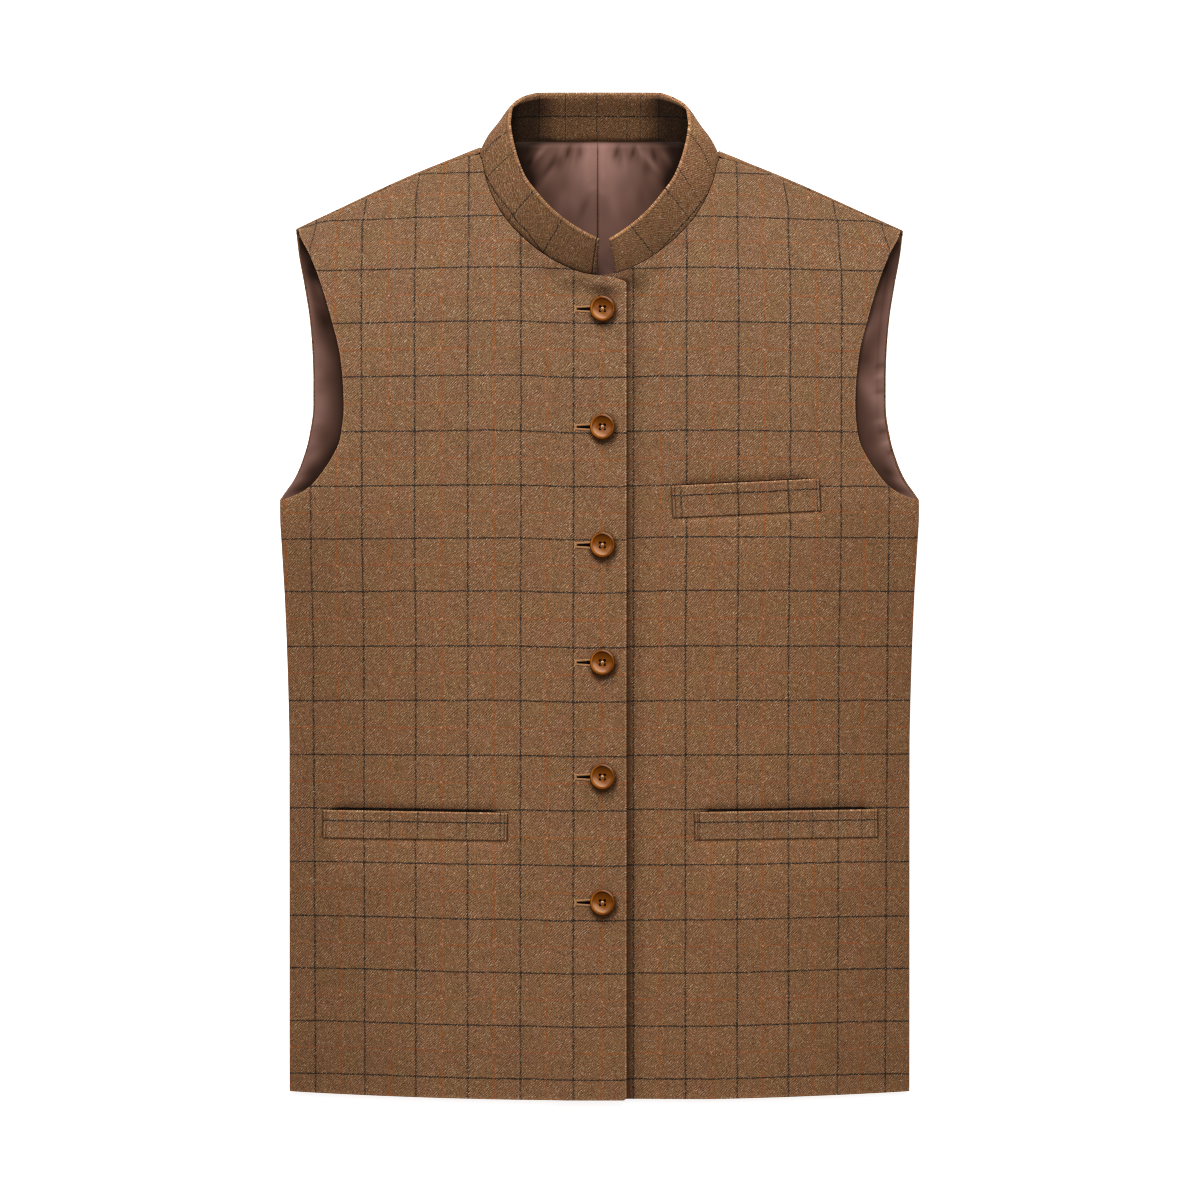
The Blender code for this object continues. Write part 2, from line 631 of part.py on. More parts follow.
# ---------------------------------------------------------------- buttons, turned with four holes
def build_button(name, y):
    z = front_z(BUTTON_X, y, -1) + GAP + 0.1
    r, h = BUTTON_D / 2, BUTTON_H
    profile = [(0.0, 0.0), (r - 1.6, 0.0), (r - 0.5, 0.6), (r, 1.6), (r, 2.6), (r - 0.35, 3.15), (r - 0.9, h), (r - 1.4, 3.2), (r - 2.1, 2.5), (r - 3.2, 2.25), (0.0, 2.15)]
    sides = 24
    bm = bmesh.new()
    rings = []
    for pr, pz in profile:
        if pr == 0:
            rings.append([bm.verts.new((0, 0, pz * 0.001))])
        else:
            rings.append([bm.verts.new((pr * 0.001 * math.cos(2 * math.pi * k / sides), pr * 0.001 * math.sin(2 * math.pi * k / sides), pz * 0.001)) for k in range(sides)])
    for a, b in zip(rings, rings[1:]):
        for k in range(sides):
            n = (k + 1) % sides
            ring = [a[k % len(a)], a[n % len(a)], b[n % len(b)], b[k % len(b)]]
            unique = [v for i, v in enumerate(ring) if v not in ring[:i]]
            bm.faces.new(unique)
    button = finish(name, bm, BUTTON)
    place = (BUTTON_X * 0.001, y * 0.001, z * 0.001)
    button.location = place
    bm = bmesh.new()
    for sx in (-1, 1):
        for sy in (-1, 1):
            made = bmesh.ops.create_cone(bm, cap_ends=True, segments=8, radius1=BUTTON_HOLE_D / 2 * 0.001, radius2=BUTTON_HOLE_D / 2 * 0.001, depth=0.008)
            bmesh.ops.translate(bm, verts=made["verts"], vec=(sx * BUTTON_HOLE_SPACING / 2 * 0.001, sy * BUTTON_HOLE_SPACING / 2 * 0.001, 0.001))
    cutter = finish(name + "_holes_cutter", bm, BUTTON)
    cutter.location = place
    cutter.hide_render = True
    cutter.display_type = "WIRE"
    cut = button.modifiers.new("holes", "BOOLEAN")
    cut.operation = "DIFFERENCE"
    cut.solver = "EXACT"
    cut.object = cutter
    return button


build_back()
build_lining(-1, "back_lining_right")
build_lining(1, "back_lining_left")
build_front(1, "front_left")
over = build_front(-1, "front_right")
cut_buttonholes(over)
build_collar()
for welt, sizes in WELTS.items():
    build_welt(welt, sizes)
for number, button_y in enumerate(BUTTON_Y, 1):
    build_button(f"button_{number}", button_y)
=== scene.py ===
"""Looks of the band-collar waistcoat: fine cloth panels, satin lining, turned buttons and worked buttonholes.

Sizes in the tables are millimetres in the row's frame: +X is the wearer's left, +Y runs from the hem to the collar,
+Z is up. The panels are worked out from the same tables as the solids that they stand for.
"""

import math

import bmesh
import bpy
import numpy as np
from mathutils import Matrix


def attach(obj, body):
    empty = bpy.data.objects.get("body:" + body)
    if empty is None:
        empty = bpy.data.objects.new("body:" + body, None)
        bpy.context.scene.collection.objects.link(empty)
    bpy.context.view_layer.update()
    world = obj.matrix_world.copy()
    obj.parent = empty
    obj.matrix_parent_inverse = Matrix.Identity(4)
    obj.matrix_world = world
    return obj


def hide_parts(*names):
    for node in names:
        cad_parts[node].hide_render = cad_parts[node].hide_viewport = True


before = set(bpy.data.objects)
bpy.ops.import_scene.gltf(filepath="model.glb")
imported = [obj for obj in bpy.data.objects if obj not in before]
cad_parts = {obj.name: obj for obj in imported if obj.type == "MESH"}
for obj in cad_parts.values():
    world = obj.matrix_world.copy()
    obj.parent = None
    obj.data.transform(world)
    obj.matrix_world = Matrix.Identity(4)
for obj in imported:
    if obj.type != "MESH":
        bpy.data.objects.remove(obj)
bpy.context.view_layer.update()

# ------------------------------------------------------------------ sizes shared with the solids
GAP = 0.3
SHOULDER_GAP = 0.12
BACK_WALL, FRONT_WALL, COLLAR_WALL, COLLAR_FOOT_WALL, LINING_WALL, WELT_WALL = 1.6, 2.0, 2.5, 1.6, 1.0, 1.5
COLLAR_FOLD_EASE = 0.6
BODY_TOP, HEM_TOP, HEM_EASE = 8.0, 5.5, 45.0
SHOULDER_ROLL = 4.0
SIDE_SEAM_TOP, SIDE_SEAM_HEM = 3.9, 3.0
FRONT_EDGE_ROLL, BACK_EDGE_ROLL = 12.0, 9.0
ARMHOLE_EDGE, UNDERARM = 7.0, 73.3
HEM_CENTRE, HEM_RISE, BACK_HEM_SHORT = -383.2, 7.0, 2.0
LAP, LAP_DIP, LAP_STEP = 20.0, 1.5, 2.6
LAP_OVER = 0.6  # how much the lap swells past its solid
LAP_EASE_OVER, LAP_EASE_UNDER = (-46.0, -23.0), (23.0, 50.0)
NECK_POINT = 91.4
BUTTON_D, BUTTON_H, BUTTON_X = 19.0, 3.4, 2.2
BUTTON_Y = (218.5, 128.8, 39.1, -50.2, -137.2, -232.6)
LINING_HEM, LINING_RIM = 20.0, 2.2
COLLAR_END = {-1: 2.6, 1: 12.2}
COLLAR_TOP_END = {-1: 0.2, 1: 7.4}


def columns(names, *rows):
    return {name: np.array([row[i] for row in rows], float) for i, name in enumerate(names.split())}


SIDE = columns(
    "y half",
    (-384.0, 236.0), (-115.0, 236.1), (-79.0, 236.8), (-40.0, 238.0), (0.0, 239.7), (35.0, 241.8), (60.0, 243.2), (UNDERARM, 243.3),
)
ARMHOLE = columns(
    "y front back",
    (UNDERARM, 243.1, 243.3), (76.0, 234.6, 241.6), (80.0, 226.2, 238.9), (86.0, 218.3, 234.6), (94.0, 211.8, 229.9),
    (105.0, 204.4, 225.6), (120.0, 197.6, 221.3), (146.0, 194.9, 217.8), (165.0, 195.7, 217.8), (185.0, 198.0, 218.4),
    (210.0, 204.1, 220.4), (236.0, 211.7, 224.4), (261.0, 221.2, 228.9), (275.0, 228.0, 230.5), (282.0, 229.6, 231.0),
)
SHOULDER = columns(
    "x fold lower_left seam",
    (0.0, 366.0, 2.8, 5.2), (75.0, 347.9, 2.8, 5.2), (NECK_POINT, 341.5, 2.8, 5.2), (102.0, 337.3, 2.8, 3.5), (113.0, 332.8, 2.9, 2.3),
    (136.0, 323.6, 3.0, 2.0), (167.0, 309.8, 2.6, 1.7), (197.0, 295.5, 2.0, 1.3), (224.0, 282.8, 1.4, 1.0), (231.0, 279.4, 1.2, 1.0),
)
BACK_NECK = columns(
    "x w",
    (0.0, 345.2), (55.0, 345.2), (66.0, 344.9), (75.0, 344.0), (82.0, 343.4), (87.0, 344.3), (90.0, 347.6), (NECK_POINT, 352.0),
)
FRONT_NECK = columns(
    "x y",
    (NECK_POINT, 336.3), (89.3, 331.4), (87.2, 321.0), (81.3, 304.0), (71.4, 287.3), (59.6, 274.4), (43.3, 261.0), (28.1, 252.0),
    (12.4, 246.0), (0.0, 244.0),
)
COLLAR = columns(
    "foot top_x top_y top_z swell",
    (0.0, 0.0, 383.6, 1.7, 0.0), (44.0, 44.0, 383.5, 2.1, 0.0), (58.0, 55.6, 381.6, 4.6, 0.8), (69.0, 63.2, 377.6, 9.2, 2.6),
    (78.0, 67.4, 371.8, 14.2, 4.2), (90.0, 68.0, 362.0, 19.4, 3.7), (101.0, 67.0, 352.0, 22.6, 2.4), (116.0, 63.8, 337.5, 24.6, 1.2),
    (134.0, 57.0, 319.0, 25.8, 0.7), (150.0, 48.2, 307.0, 26.8, 0.6), (170.0, 37.8, 295.2, 27.8, 0.6), (190.0, 27.0, 286.0, 28.4, 0.6),
    (210.0, 15.0, 278.0, 28.8, 0.5), (238.0, -2.0, 269.0, 29.2, 0.4),
)
LINING_TOP = columns("x y", (0.0, 344.8), (64.0, 344.6), (71.0, 342.0), (78.0, 338.0), (NECK_POINT, 333.0), (231.0, 272.0))
WELTS = {
    "chest_welt": {"side": 1, "x": 111.4, "y": 74.7, "length": 113.0, "height": 24.4, "tilt": 2.8},
    "lower_welt_right": {"side": -1, "x": -140.1, "y": -173.8, "length": 140.6, "height": 21.2, "tilt": -0.94},
    "lower_welt_left": {"side": 1, "x": 141.8, "y": -173.3, "length": 139.6, "height": 21.2, "tilt": 0.9},
}

# ------------------------------------------------------------------ the check: where its lines fall on each piece
# Each row gives a place on the piece in millimetres and the number of the dark line there; a rust line is midway.
CHECK_X = {
    -1: columns("x k", (-255.0, -6.96), (-217.7, -6), (-179.4, -5), (-140.2, -4), (-100.7, -3), (-60.4, -2), (-20.1, -1), (23.2, 0)),
    1: columns("x k", (-20.0, -1.13), (25.8, 0), (65.4, 1), (104.9, 2), (144.4, 3), (182.4, 4), (219.6, 5), (258.0, 6)),
}
CHECK_Y = columns(
    "y k",
    (-406.0, -10), (-365.9, -9), (-325.7, -8), (-285.4, -7), (-245.1, -6), (-203.3, -5), (-161.4, -4), (-120.1, -3), (-78.7, -2),
    (-37.5, -1), (4.2, 0), (44.5, 1), (84.7, 2), (126.5, 3), (168.0, 4), (209.1, 5), (250.0, 6), (288.8, 7), (321.9, 8), (352.0, 9),
)
# How much lower the cross lines run near the side than at the middle.
CHECK_DROOP = columns("y drop", (-380.0, -4.3), (-240.0, -3.1), (-160.0, -1.6), (-80.0, 0.0), (45.0, 0.9), (170.0, 1.8), (250.0, 3.1), (290.0, 4.4), (340.0, 5.0))
# How much lower the cross lines of each front lie than on a flat piece, away from the front edge and near it.
CHECK_SETTLE = columns(
    "y right left lap_right lap_left",
    (-380.0, 0.6, 1.0, 1.1, -0.1), (-330.0, 0.4, 0.95, 1.3, -0.1), (-220.0, 0.3, 0.7, 1.2, 0.0), (-160.0, 0.9, 0.5, 0.8, -0.2),
    (-80.0, 0.3, 0.25, 1.3, 0.7), (0.0, -0.1, -0.4, 1.6, 0.8), (45.0, -0.1, -1.0, 1.6, 1.2), (85.0, -0.2, 0.0, 1.6, 0.6),
    (126.5, 0.15, 0.1, 2.2, 0.8), (168.0, -0.4, 0.15, 2.1, 0.9), (250.0, -0.6, -0.3, 1.9, 1.2), (290.0, -0.9, -0.4, 1.9, 1.2),
)
# How far the lines up the cloth sway outwards (+X) below the waist, above it, and on the shoulder.
CHECK_SWAY = {
    -1: columns("x low high top", (-217.7, 0.0, -1.5, -1.5), (-179.4, 0.15, -1.0, -0.3), (-140.2, 0.5, -0.3, 0.4), (-100.7, 0.5, 0.6, 1.3), (-60.4, 0.35, 0.7, 0.5), (-20.1, 0.2, 0.5, 0.5)),
    1: columns("x low high top", (25.8, 0.0, 0.0, 0.0), (65.4, -0.1, 0.9, 1.0), (104.9, -0.2, 0.8, 0.0), (144.4, -0.8, 0.7, -0.9), (182.4, -0.4, 1.1, -1.2), (219.6, -0.5, 0.2, 0.0)),
}
CHECK_W, CHECK_H = 39.7, 40.9  # size of one repeat in the cloth's own coordinates


# ------------------------------------------------------------------ curves and surfaces
def smooth(t):
    t = np.clip(t, 0.0, 1.0)
    return t * t * (3 - 2 * t)


def read(table, key, value, at):
    """The value column along the key column, on the same monotone curve as the solids use."""
    x, y = table[key], table[value]
    if x[0] > x[-1]:
        x, y = x[::-1], y[::-1]
    at = np.clip(np.asarray(at, float), x[0], x[-1])
    i = np.clip(np.searchsorted(x, at, side="right") - 1, 0, len(x) - 2)
    step = np.diff(x)
    rise = np.diff(y) / step
    slope = np.zeros(len(x))
    slope[0], slope[-1] = rise[0], rise[-1]
    for k in range(1, len(x) - 1):
        if rise[k - 1] * rise[k] > 0:
            a, b = 2 * step[k] + step[k - 1], step[k] + 2 * step[k - 1]
            slope[k] = (a + b) / (a / rise[k - 1] + b / rise[k])
    h = step[i]
    t = (at - x[i]) / h
    return (
        (1 + 2 * t) * (1 - t) ** 2 * y[i]
        + t * (1 - t) ** 2 * h * slope[i]
        + t * t * (3 - 2 * t) * y[i + 1]
        + t * t * (t - 1) * h * slope[i + 1]
    )


def hem_y(x):
    return HEM_CENTRE + HEM_RISE * (np.asarray(x) / 236.0) ** 2


def outline(y, panel):
    y = np.asarray(y, float)
    return np.where(y <= UNDERARM, read(SIDE, "y", "half", y), read(ARMHOLE, "y", panel, y))


def fold_y(x, side):
    x = np.abs(x)
    return read(SHOULDER, "x", "fold", x) - (read(SHOULDER, "x", "lower_left", x) if side > 0 else 0.0)


def seam_y(x, side):
    return fold_y(x, side) - read(SHOULDER, "x", "seam", np.abs(x))


def edge_curve(e, width):
    t = np.clip(1 - np.clip(e, 0, None) / width, 0, 1)
    return 1 - np.sqrt(np.clip(1 - t * t, 0, None))


def side_seam_z(y):
    return SIDE_SEAM_TOP - (SIDE_SEAM_TOP - SIDE_SEAM_HEM) * smooth((hem_y(236.0) + HEM_EASE - y) / HEM_EASE)


def front_z(x, y, side):
    x, y = np.asarray(x, float), np.asarray(y, float)
    near_hem = smooth((hem_y(x) + HEM_EASE - y) / HEM_EASE)
    z = BODY_TOP - (BODY_TOP - HEM_TOP) * near_hem
    dip = LAP_DIP * (1 - 0.87 * near_hem)
    if side < 0:
        z = z + (LAP_STEP - dip) * smooth((x - LAP_EASE_OVER[0]) / (LAP_EASE_OVER[1] - LAP_EASE_OVER[0]))
    else:
        z = z - dip * smooth((LAP_EASE_UNDER[1] - x) / (LAP_EASE_UNDER[1] - LAP_EASE_UNDER[0]))
    open_edge = smooth((y - UNDERARM) / 14.0)
    free_z = ARMHOLE_EDGE + (BODY_TOP - ARMHOLE_EDGE) * smooth((y - 248.0) / 22.0)
    edge_z = (side_seam_z(y) + GAP / 2) * (1 - open_edge) + free_z * open_edge
    z = z - (z - edge_z) * edge_curve(outline(y, "front") - np.abs(x), FRONT_EDGE_ROLL - 6.0 * open_edge)
    d = fold_y(x, side) - y
    roll = SHOULDER_ROLL + np.sqrt(np.clip(SHOULDER_ROLL**2 - (SHOULDER_ROLL - np.clip(d, 0, None)) ** 2, 0, None))
    return np.where(d < SHOULDER_ROLL, np.minimum(z, z - BODY_TOP + roll), z)


def back_point(x, w, side):
    r = SHOULDER_ROLL
    x, w = np.broadcast_arrays(np.asarray(x, float), np.asarray(w, float))
    start = fold_y(x, side) - r
    a = w - start
    t = np.clip(a, 0, math.pi * r) / r
    y = np.where(a <= 0, w, np.where(a < math.pi * r, start + r * np.sin(t), start - (a - math.pi * r)))
    z = np.where(a <= 0, 0.0, r - r * np.cos(t))
    return np.stack([x, y, z], -1)


def seam_w(x, side):
    r, d = SHOULDER_ROLL, read(SHOULDER, "x", "seam", np.abs(x))
    turned = np.where(d < r, r * (math.pi - np.arcsin(np.clip(1 - d / r, -1, 1))), math.pi * r + d - r)
    return fold_y(x, side) - r + turned - SHOULDER_GAP / 2


def back_top_w(x, side):
    x = np.abs(x)
    lower = read(SHOULDER, "x", "lower_left", x) if side > 0 else 0.0
    neck = read(BACK_NECK, "x", "w", x) - lower * smooth((x - 62.0) / 24.0)
    return np.where(x >= NECK_POINT, seam_w(x, side), neck)


def neck_y_shift(y, side):
    return -2.8 * smooth((np.asarray(y) - 296.0) / 36.0) if side > 0 else 0.0 * np.asarray(y)


NECK_ROWS = list(zip(FRONT_NECK["x"], FRONT_NECK["y"])) + [(-8.0, 243.3), (-15.0, 242.6), (-LAP, 242.0)]
NECK_X, NECK_Y = (np.array([r[i] for r in NECK_ROWS]) for i in (0, 1))
NECK_T = np.concatenate([[0], np.cumsum(np.hypot(np.diff(NECK_X), np.diff(NECK_Y)))])
FINE_T = np.linspace(0, NECK_T[-1], 800)
FINE_X = read({"t": NECK_T, "v": NECK_X}, "t", "v", FINE_T)
FINE_Y = read({"t": NECK_T, "v": NECK_Y}, "t", "v", FINE_T)


def neckline(t, side):
    """Points of a front's neckline, in side * x and y, at distances from the shoulder seam."""
    x, y = np.interp(t, FINE_T, FINE_X), np.interp(t, FINE_T, FINE_Y)
    return x, y + neck_y_shift(y, side)


def check_uv(x, y, side):
    """Place on the cloth, in millimetres, of a point of a front."""
    x, y = np.asarray(x, float), np.asarray(y, float)
    droop = read(CHECK_DROOP, "y", "drop", y) * smooth((np.abs(x) - 70.0) / 160.0)
    name = "left" if side > 0 else "right"
    droop = droop + read(CHECK_SETTLE, "y", name, y) + read(CHECK_SETTLE, "y", "lap_" + name, y) * smooth((75.0 - np.abs(x)) / 65.0)
    # the cloth is pulled down over the tips of the shoulders
    tip = smooth((np.abs(x) - 204.0) / 30.0) * smooth((y - 262.0) / 24.0)
    droop = droop + 7.0 * tip
    sway = CHECK_SWAY[side]
    above, on_top = smooth((y + 40.0) / 100.0), smooth((y - 235.0) / 40.0)
    shift = read(sway, "x", "low", x) * (1 - above) + read(sway, "x", "high", x) * (above - on_top) + read(sway, "x", "top", x) * on_top
    drift = 1.6 * smooth((np.abs(x) - 150.0) / 60.0) * (np.clip(y, -380, 200) / 300.0) * (1 if side > 0 else -1)
    over = smooth((y - fold_y(x, side) + 24.0) / 24.0) * smooth((np.abs(x) - 90.0) / 50.0)
    inward = (7.0 * tip + (4.2 if side > 0 else 3.0) * over) * (1 if side > 0 else -1)
    u = read(CHECK_X[side], "x", "k", x - drift - shift + inward) * CHECK_W
    v = read(CHECK_Y, "y", "k", y + droop) * CHECK_H
    return u, v


# ------------------------------------------------------------------ meshes
def grid_normals(p):
    down = np.empty_like(p)
    down[1:-1] = p[2:] - p[:-2]
    down[0], down[-1] = p[1] - p[0], p[-1] - p[-2]
    across = np.empty_like(p)
    across[:, 1:-1] = p[:, 2:] - p[:, :-2]
    across[:, 0], across[:, -1] = p[:, 1] - p[:, 0], p[:, -1] - p[:, -2]
    n = np.cross(across, down)
    return n / np.maximum(np.linalg.norm(n, axis=2, keepdims=True), 1e-9)


def unit(v):
    return v / np.maximum(np.linalg.norm(v, axis=-1, keepdims=True), 1e-9)


def make_mesh(name, points, quads, uvs, mat, shade_smooth=True):
    """points in millimetres, quads or triangles as an index array, uvs a dict of name to per-point pairs."""
    mesh = bpy.data.meshes.new(name)
    quads = np.asarray(quads, np.int32)
    k = quads.shape[1]
    mesh.vertices.add(len(points))
    mesh.vertices.foreach_set("co", (np.asarray(points, np.float64) * 0.001).astype(np.float32).ravel())
    mesh.loops.add(quads.size)
    mesh.loops.foreach_set("vertex_index", quads.ravel())
    mesh.polygons.add(len(quads))
    mesh.polygons.foreach_set("loop_start", np.arange(0, quads.size, k, dtype=np.int32))
    mesh.polygons.foreach_set("use_smooth", np.full(len(quads), shade_smooth))
    mesh.update(calc_edges=True)
    mesh.validate()
    for key, uv in uvs.items():
        layer = mesh.uv_layers.new(name=key)
        layer.uv.foreach_set("vector", np.asarray(uv, np.float32)[quads.ravel()].ravel())
    mesh.materials.append(mat)
    obj = bpy.data.objects.new(name, mesh)
    bpy.context.scene.collection.objects.link(obj)
    return obj


def shell(name, p, wall, uv, aux, mat, outward, edge_round=1.0, inner=None, spot=None, check=None):
    """A closed wall behind a grid of outer points with rounded rims. uv, aux and check are per-point pairs on the grid,
    and inner gives those of the other face where they differ."""
    p = np.array(p, float)
    rows, cols = p.shape[:2]
    n = grid_normals(p)
    flip = np.dot(n[rows // 2, cols // 2], outward) < 0
    if flip:
        n = -n
    wall = np.broadcast_to(np.asarray(wall, float), (rows, cols))
    # outward direction in the cloth at the rims
    t = np.zeros_like(p)
    t[0] += unit(p[0] - p[1])
    t[-1] += unit(p[-1] - p[-2])
    t[:, 0] += unit(p[:, 0] - p[:, 1])
    t[:, -1] += unit(p[:, -1] - p[:, -2])
    t -= n * (t * n).sum(-1, keepdims=True)
    t = unit(t)
    rim = [(0, i) for i in range(cols)] + [(j, cols - 1) for j in range(1, rows)]
    rim += [(rows - 1, i) for i in range(cols - 2, -1, -1)] + [(j, 0) for j in range(rows - 2, 0, -1)]
    rj, ri = np.array([r[0] for r in rim]), np.array([r[1] for r in rim])
    edge_round = np.broadcast_to(np.asarray(edge_round, float), (rows, cols))
    r = np.minimum(wall[rj, ri] / 2, edge_round[rj, ri])[:, None]
    centre = p[rj, ri] - t[rj, ri] * r - n[rj, ri] * wall[rj, ri][:, None] / 2
    half = wall[rj, ri][:, None] / 2
    top, bottom = p.copy(), p - n * wall[..., None]
    top[rj, ri] = centre + n[rj, ri] * half
    bottom[rj, ri] = centre - n[rj, ri] * half
    rings = [centre + t[rj, ri] * r * math.cos(a) + n[rj, ri] * half * math.sin(a) for a in (math.radians(50), math.radians(16), math.radians(-16), math.radians(-50))]
    idx = np.arange(rows * cols).reshape(rows, cols)
    a, b, c, d = idx[:-1, :-1].ravel(), idx[:-1, 1:].ravel(), idx[1:, 1:].ravel(), idx[1:, :-1].ravel()
    upper, lower = np.stack([a, b, c, d], 1), np.stack([a, d, c, b], 1) + rows * cols
    count = len(rim)
    base = 2 * rows * cols
    loops = [idx[rj, ri]] + [base + k * count + np.arange(count) for k in range(len(rings))] + [idx[rj, ri] + rows * cols]
    sides = []
    for one, two in zip(loops, loops[1:]):
        sides.append(np.stack([one, two, np.roll(two, -1), np.roll(one, -1)], 1))
    quads = np.concatenate([upper, lower] + sides)
    if flip:
        quads = quads[:, ::-1]
    points = np.concatenate([top.reshape(-1, 3), bottom.reshape(-1, 3)] + rings)
    uvs = {}
    check = uv if check is None else check
    inner = inner or (None, None, None)
    for key, value, other in (("cloth", uv, inner[0]), ("aux", aux, inner[1]), ("check", check, inner[2])):
        value = np.array(value, float)
        under = value if other is None else np.array(other, float)
        flat = [value.reshape(-1, 2), under.reshape(-1, 2)] + [value[rj, ri]] * len(rings)
        uvs[key] = np.concatenate(flat)
    if spot is not None:
        spot = np.array(spot, float)
        uvs["spot"] = np.concatenate([spot.reshape(-1, 2)] * 2 + [spot[rj, ri]] * len(rings))
    return make_mesh(name, points, quads, uvs, mat)


def soft_marks(x, y, marks):
    """Sum of soft ridges (positive) and troughs: x, y, length, width, angle in degrees, height."""
    z = np.zeros(np.broadcast(x, y).shape)
    for mx, my, length, width, angle, height in marks:
        c, s = math.cos(math.radians(angle)), math.sin(math.radians(angle))
        a = ((x - mx) * c + (y - my) * s) / length
        b = (-(x - mx) * s + (y - my) * c) / width
        z = z + height * np.exp(-(a**2) * 2 - b**2 * 2)
    return z


def spread(length, step):
    """Positions from 0 to length, close together at both ends and step apart between."""
    ends = [0.0, 1.2, 2.4, 4.0, 6.0]
    middle = np.linspace(ends[-1], length - ends[-1], max(2, int(round((length - 2 * ends[-1]) / step)) + 1))
    return np.concatenate([ends[:-1], middle, [length - e for e in ends[:-1]][::-1]])


# ------------------------------------------------------------------ materials
class Graph:
    """Short names for building a node tree."""

    def __init__(self, name):
        self.mat = bpy.data.materials.new(name)
        self.mat.use_nodes = True
        self.tree = self.mat.node_tree
        self.shader = self.tree.nodes["Principled BSDF"]

    def link(self, a, b):
        self.tree.links.new(a, b)

    def set(self, socket, value):
        if isinstance(value, bpy.types.NodeSocket):
            self.link(value, socket)
        elif isinstance(value, (tuple, list)) and len(value) == 3 and socket.type == "RGBA":
            socket.default_value = (*value, 1.0)
        else:
            socket.default_value = value

    def node(self, kind, **settings):
        n = self.tree.nodes.new(kind)
        for k, v in settings.items():
            setattr(n, k, v)
        return n

    def m(self, op, a, b=None, c=None, clamp=False):
        n = self.node("ShaderNodeMath", operation=op, use_clamp=clamp)
        for i, v in enumerate((a, b, c)):
            if v is not None:
                self.set(n.inputs[i], v)
        return n.outputs[0]

    def step(self, value, low, high, out_low=0.0, out_high=1.0):
        n = self.node("ShaderNodeMapRange", interpolation_type="SMOOTHSTEP")
        for i, v in enumerate((value, low, high, out_low, out_high)):
            self.set(n.inputs[i], v)
        return n.outputs[0]

    def mix(self, fac, a, b, blend="MIX"):
        n = self.node("ShaderNodeMix", data_type="RGBA", blend_type=blend)
        self.set(n.inputs[0], fac)
        self.set(n.inputs[6], a)
        self.set(n.inputs[7], b)
        return n.outputs[2]

    def mixf(self, fac, a, b):
        n = self.node("ShaderNodeMix", data_type="FLOAT")
        self.set(n.inputs[0], fac)
        self.set(n.inputs[2], a)
        self.set(n.inputs[3], b)
        return n.outputs[0]

    def xyz(self, x, y, z=0.0):
        n = self.node("ShaderNodeCombineXYZ")
        for i, v in enumerate((x, y, z)):
            self.set(n.inputs[i], v)
        return n.outputs[0]

    def split(self, v):
        n = self.node("ShaderNodeSeparateXYZ")
        self.link(v, n.inputs[0])
        return n.outputs

    def noise(self, vector, scale=1.0, detail=2.0, rough=0.5, dims="2D", out=0):
        n = self.node("ShaderNodeTexNoise", noise_dimensions=dims)
        self.link(vector, n.inputs["Vector"])
        n.inputs["Scale"].default_value = scale
        n.inputs["Detail"].default_value = detail
        n.inputs["Roughness"].default_value = rough
        return n.outputs[out]

    def ramp(self, fac, stops, interpolation="LINEAR"):
        n = self.node("ShaderNodeValToRGB")
        n.color_ramp.interpolation = interpolation
        el = n.color_ramp.elements
        while len(el) < len(stops):
            el.new(0.5)
        for e, (pos, rgb) in zip(el, stops):
            e.position = pos
            e.color = (*rgb, 1.0)
        self.set(n.inputs[0], fac)
        return n.outputs[0]

    def uv(self, name):
        return self.node("ShaderNodeUVMap", uv_map=name).outputs[0]

    def bump(self, height, strength, distance):
        n = self.node("ShaderNodeBump")
        n.inputs["Strength"].default_value = strength
        n.inputs["Distance"].default_value = distance
        self.link(height, n.inputs["Height"])
        self.link(n.outputs[0], self.shader.inputs["Normal"])


def srgb(r, g, b):
    """Linear colour from 0 to 255 screen values."""
    return tuple(((c / 255 + 0.055) / 1.055) ** 2.4 if c > 10.3 else c / 255 / 12.92 for c in (r, g, b))


TWILL = 1.43  # distance between twill ridges, across them


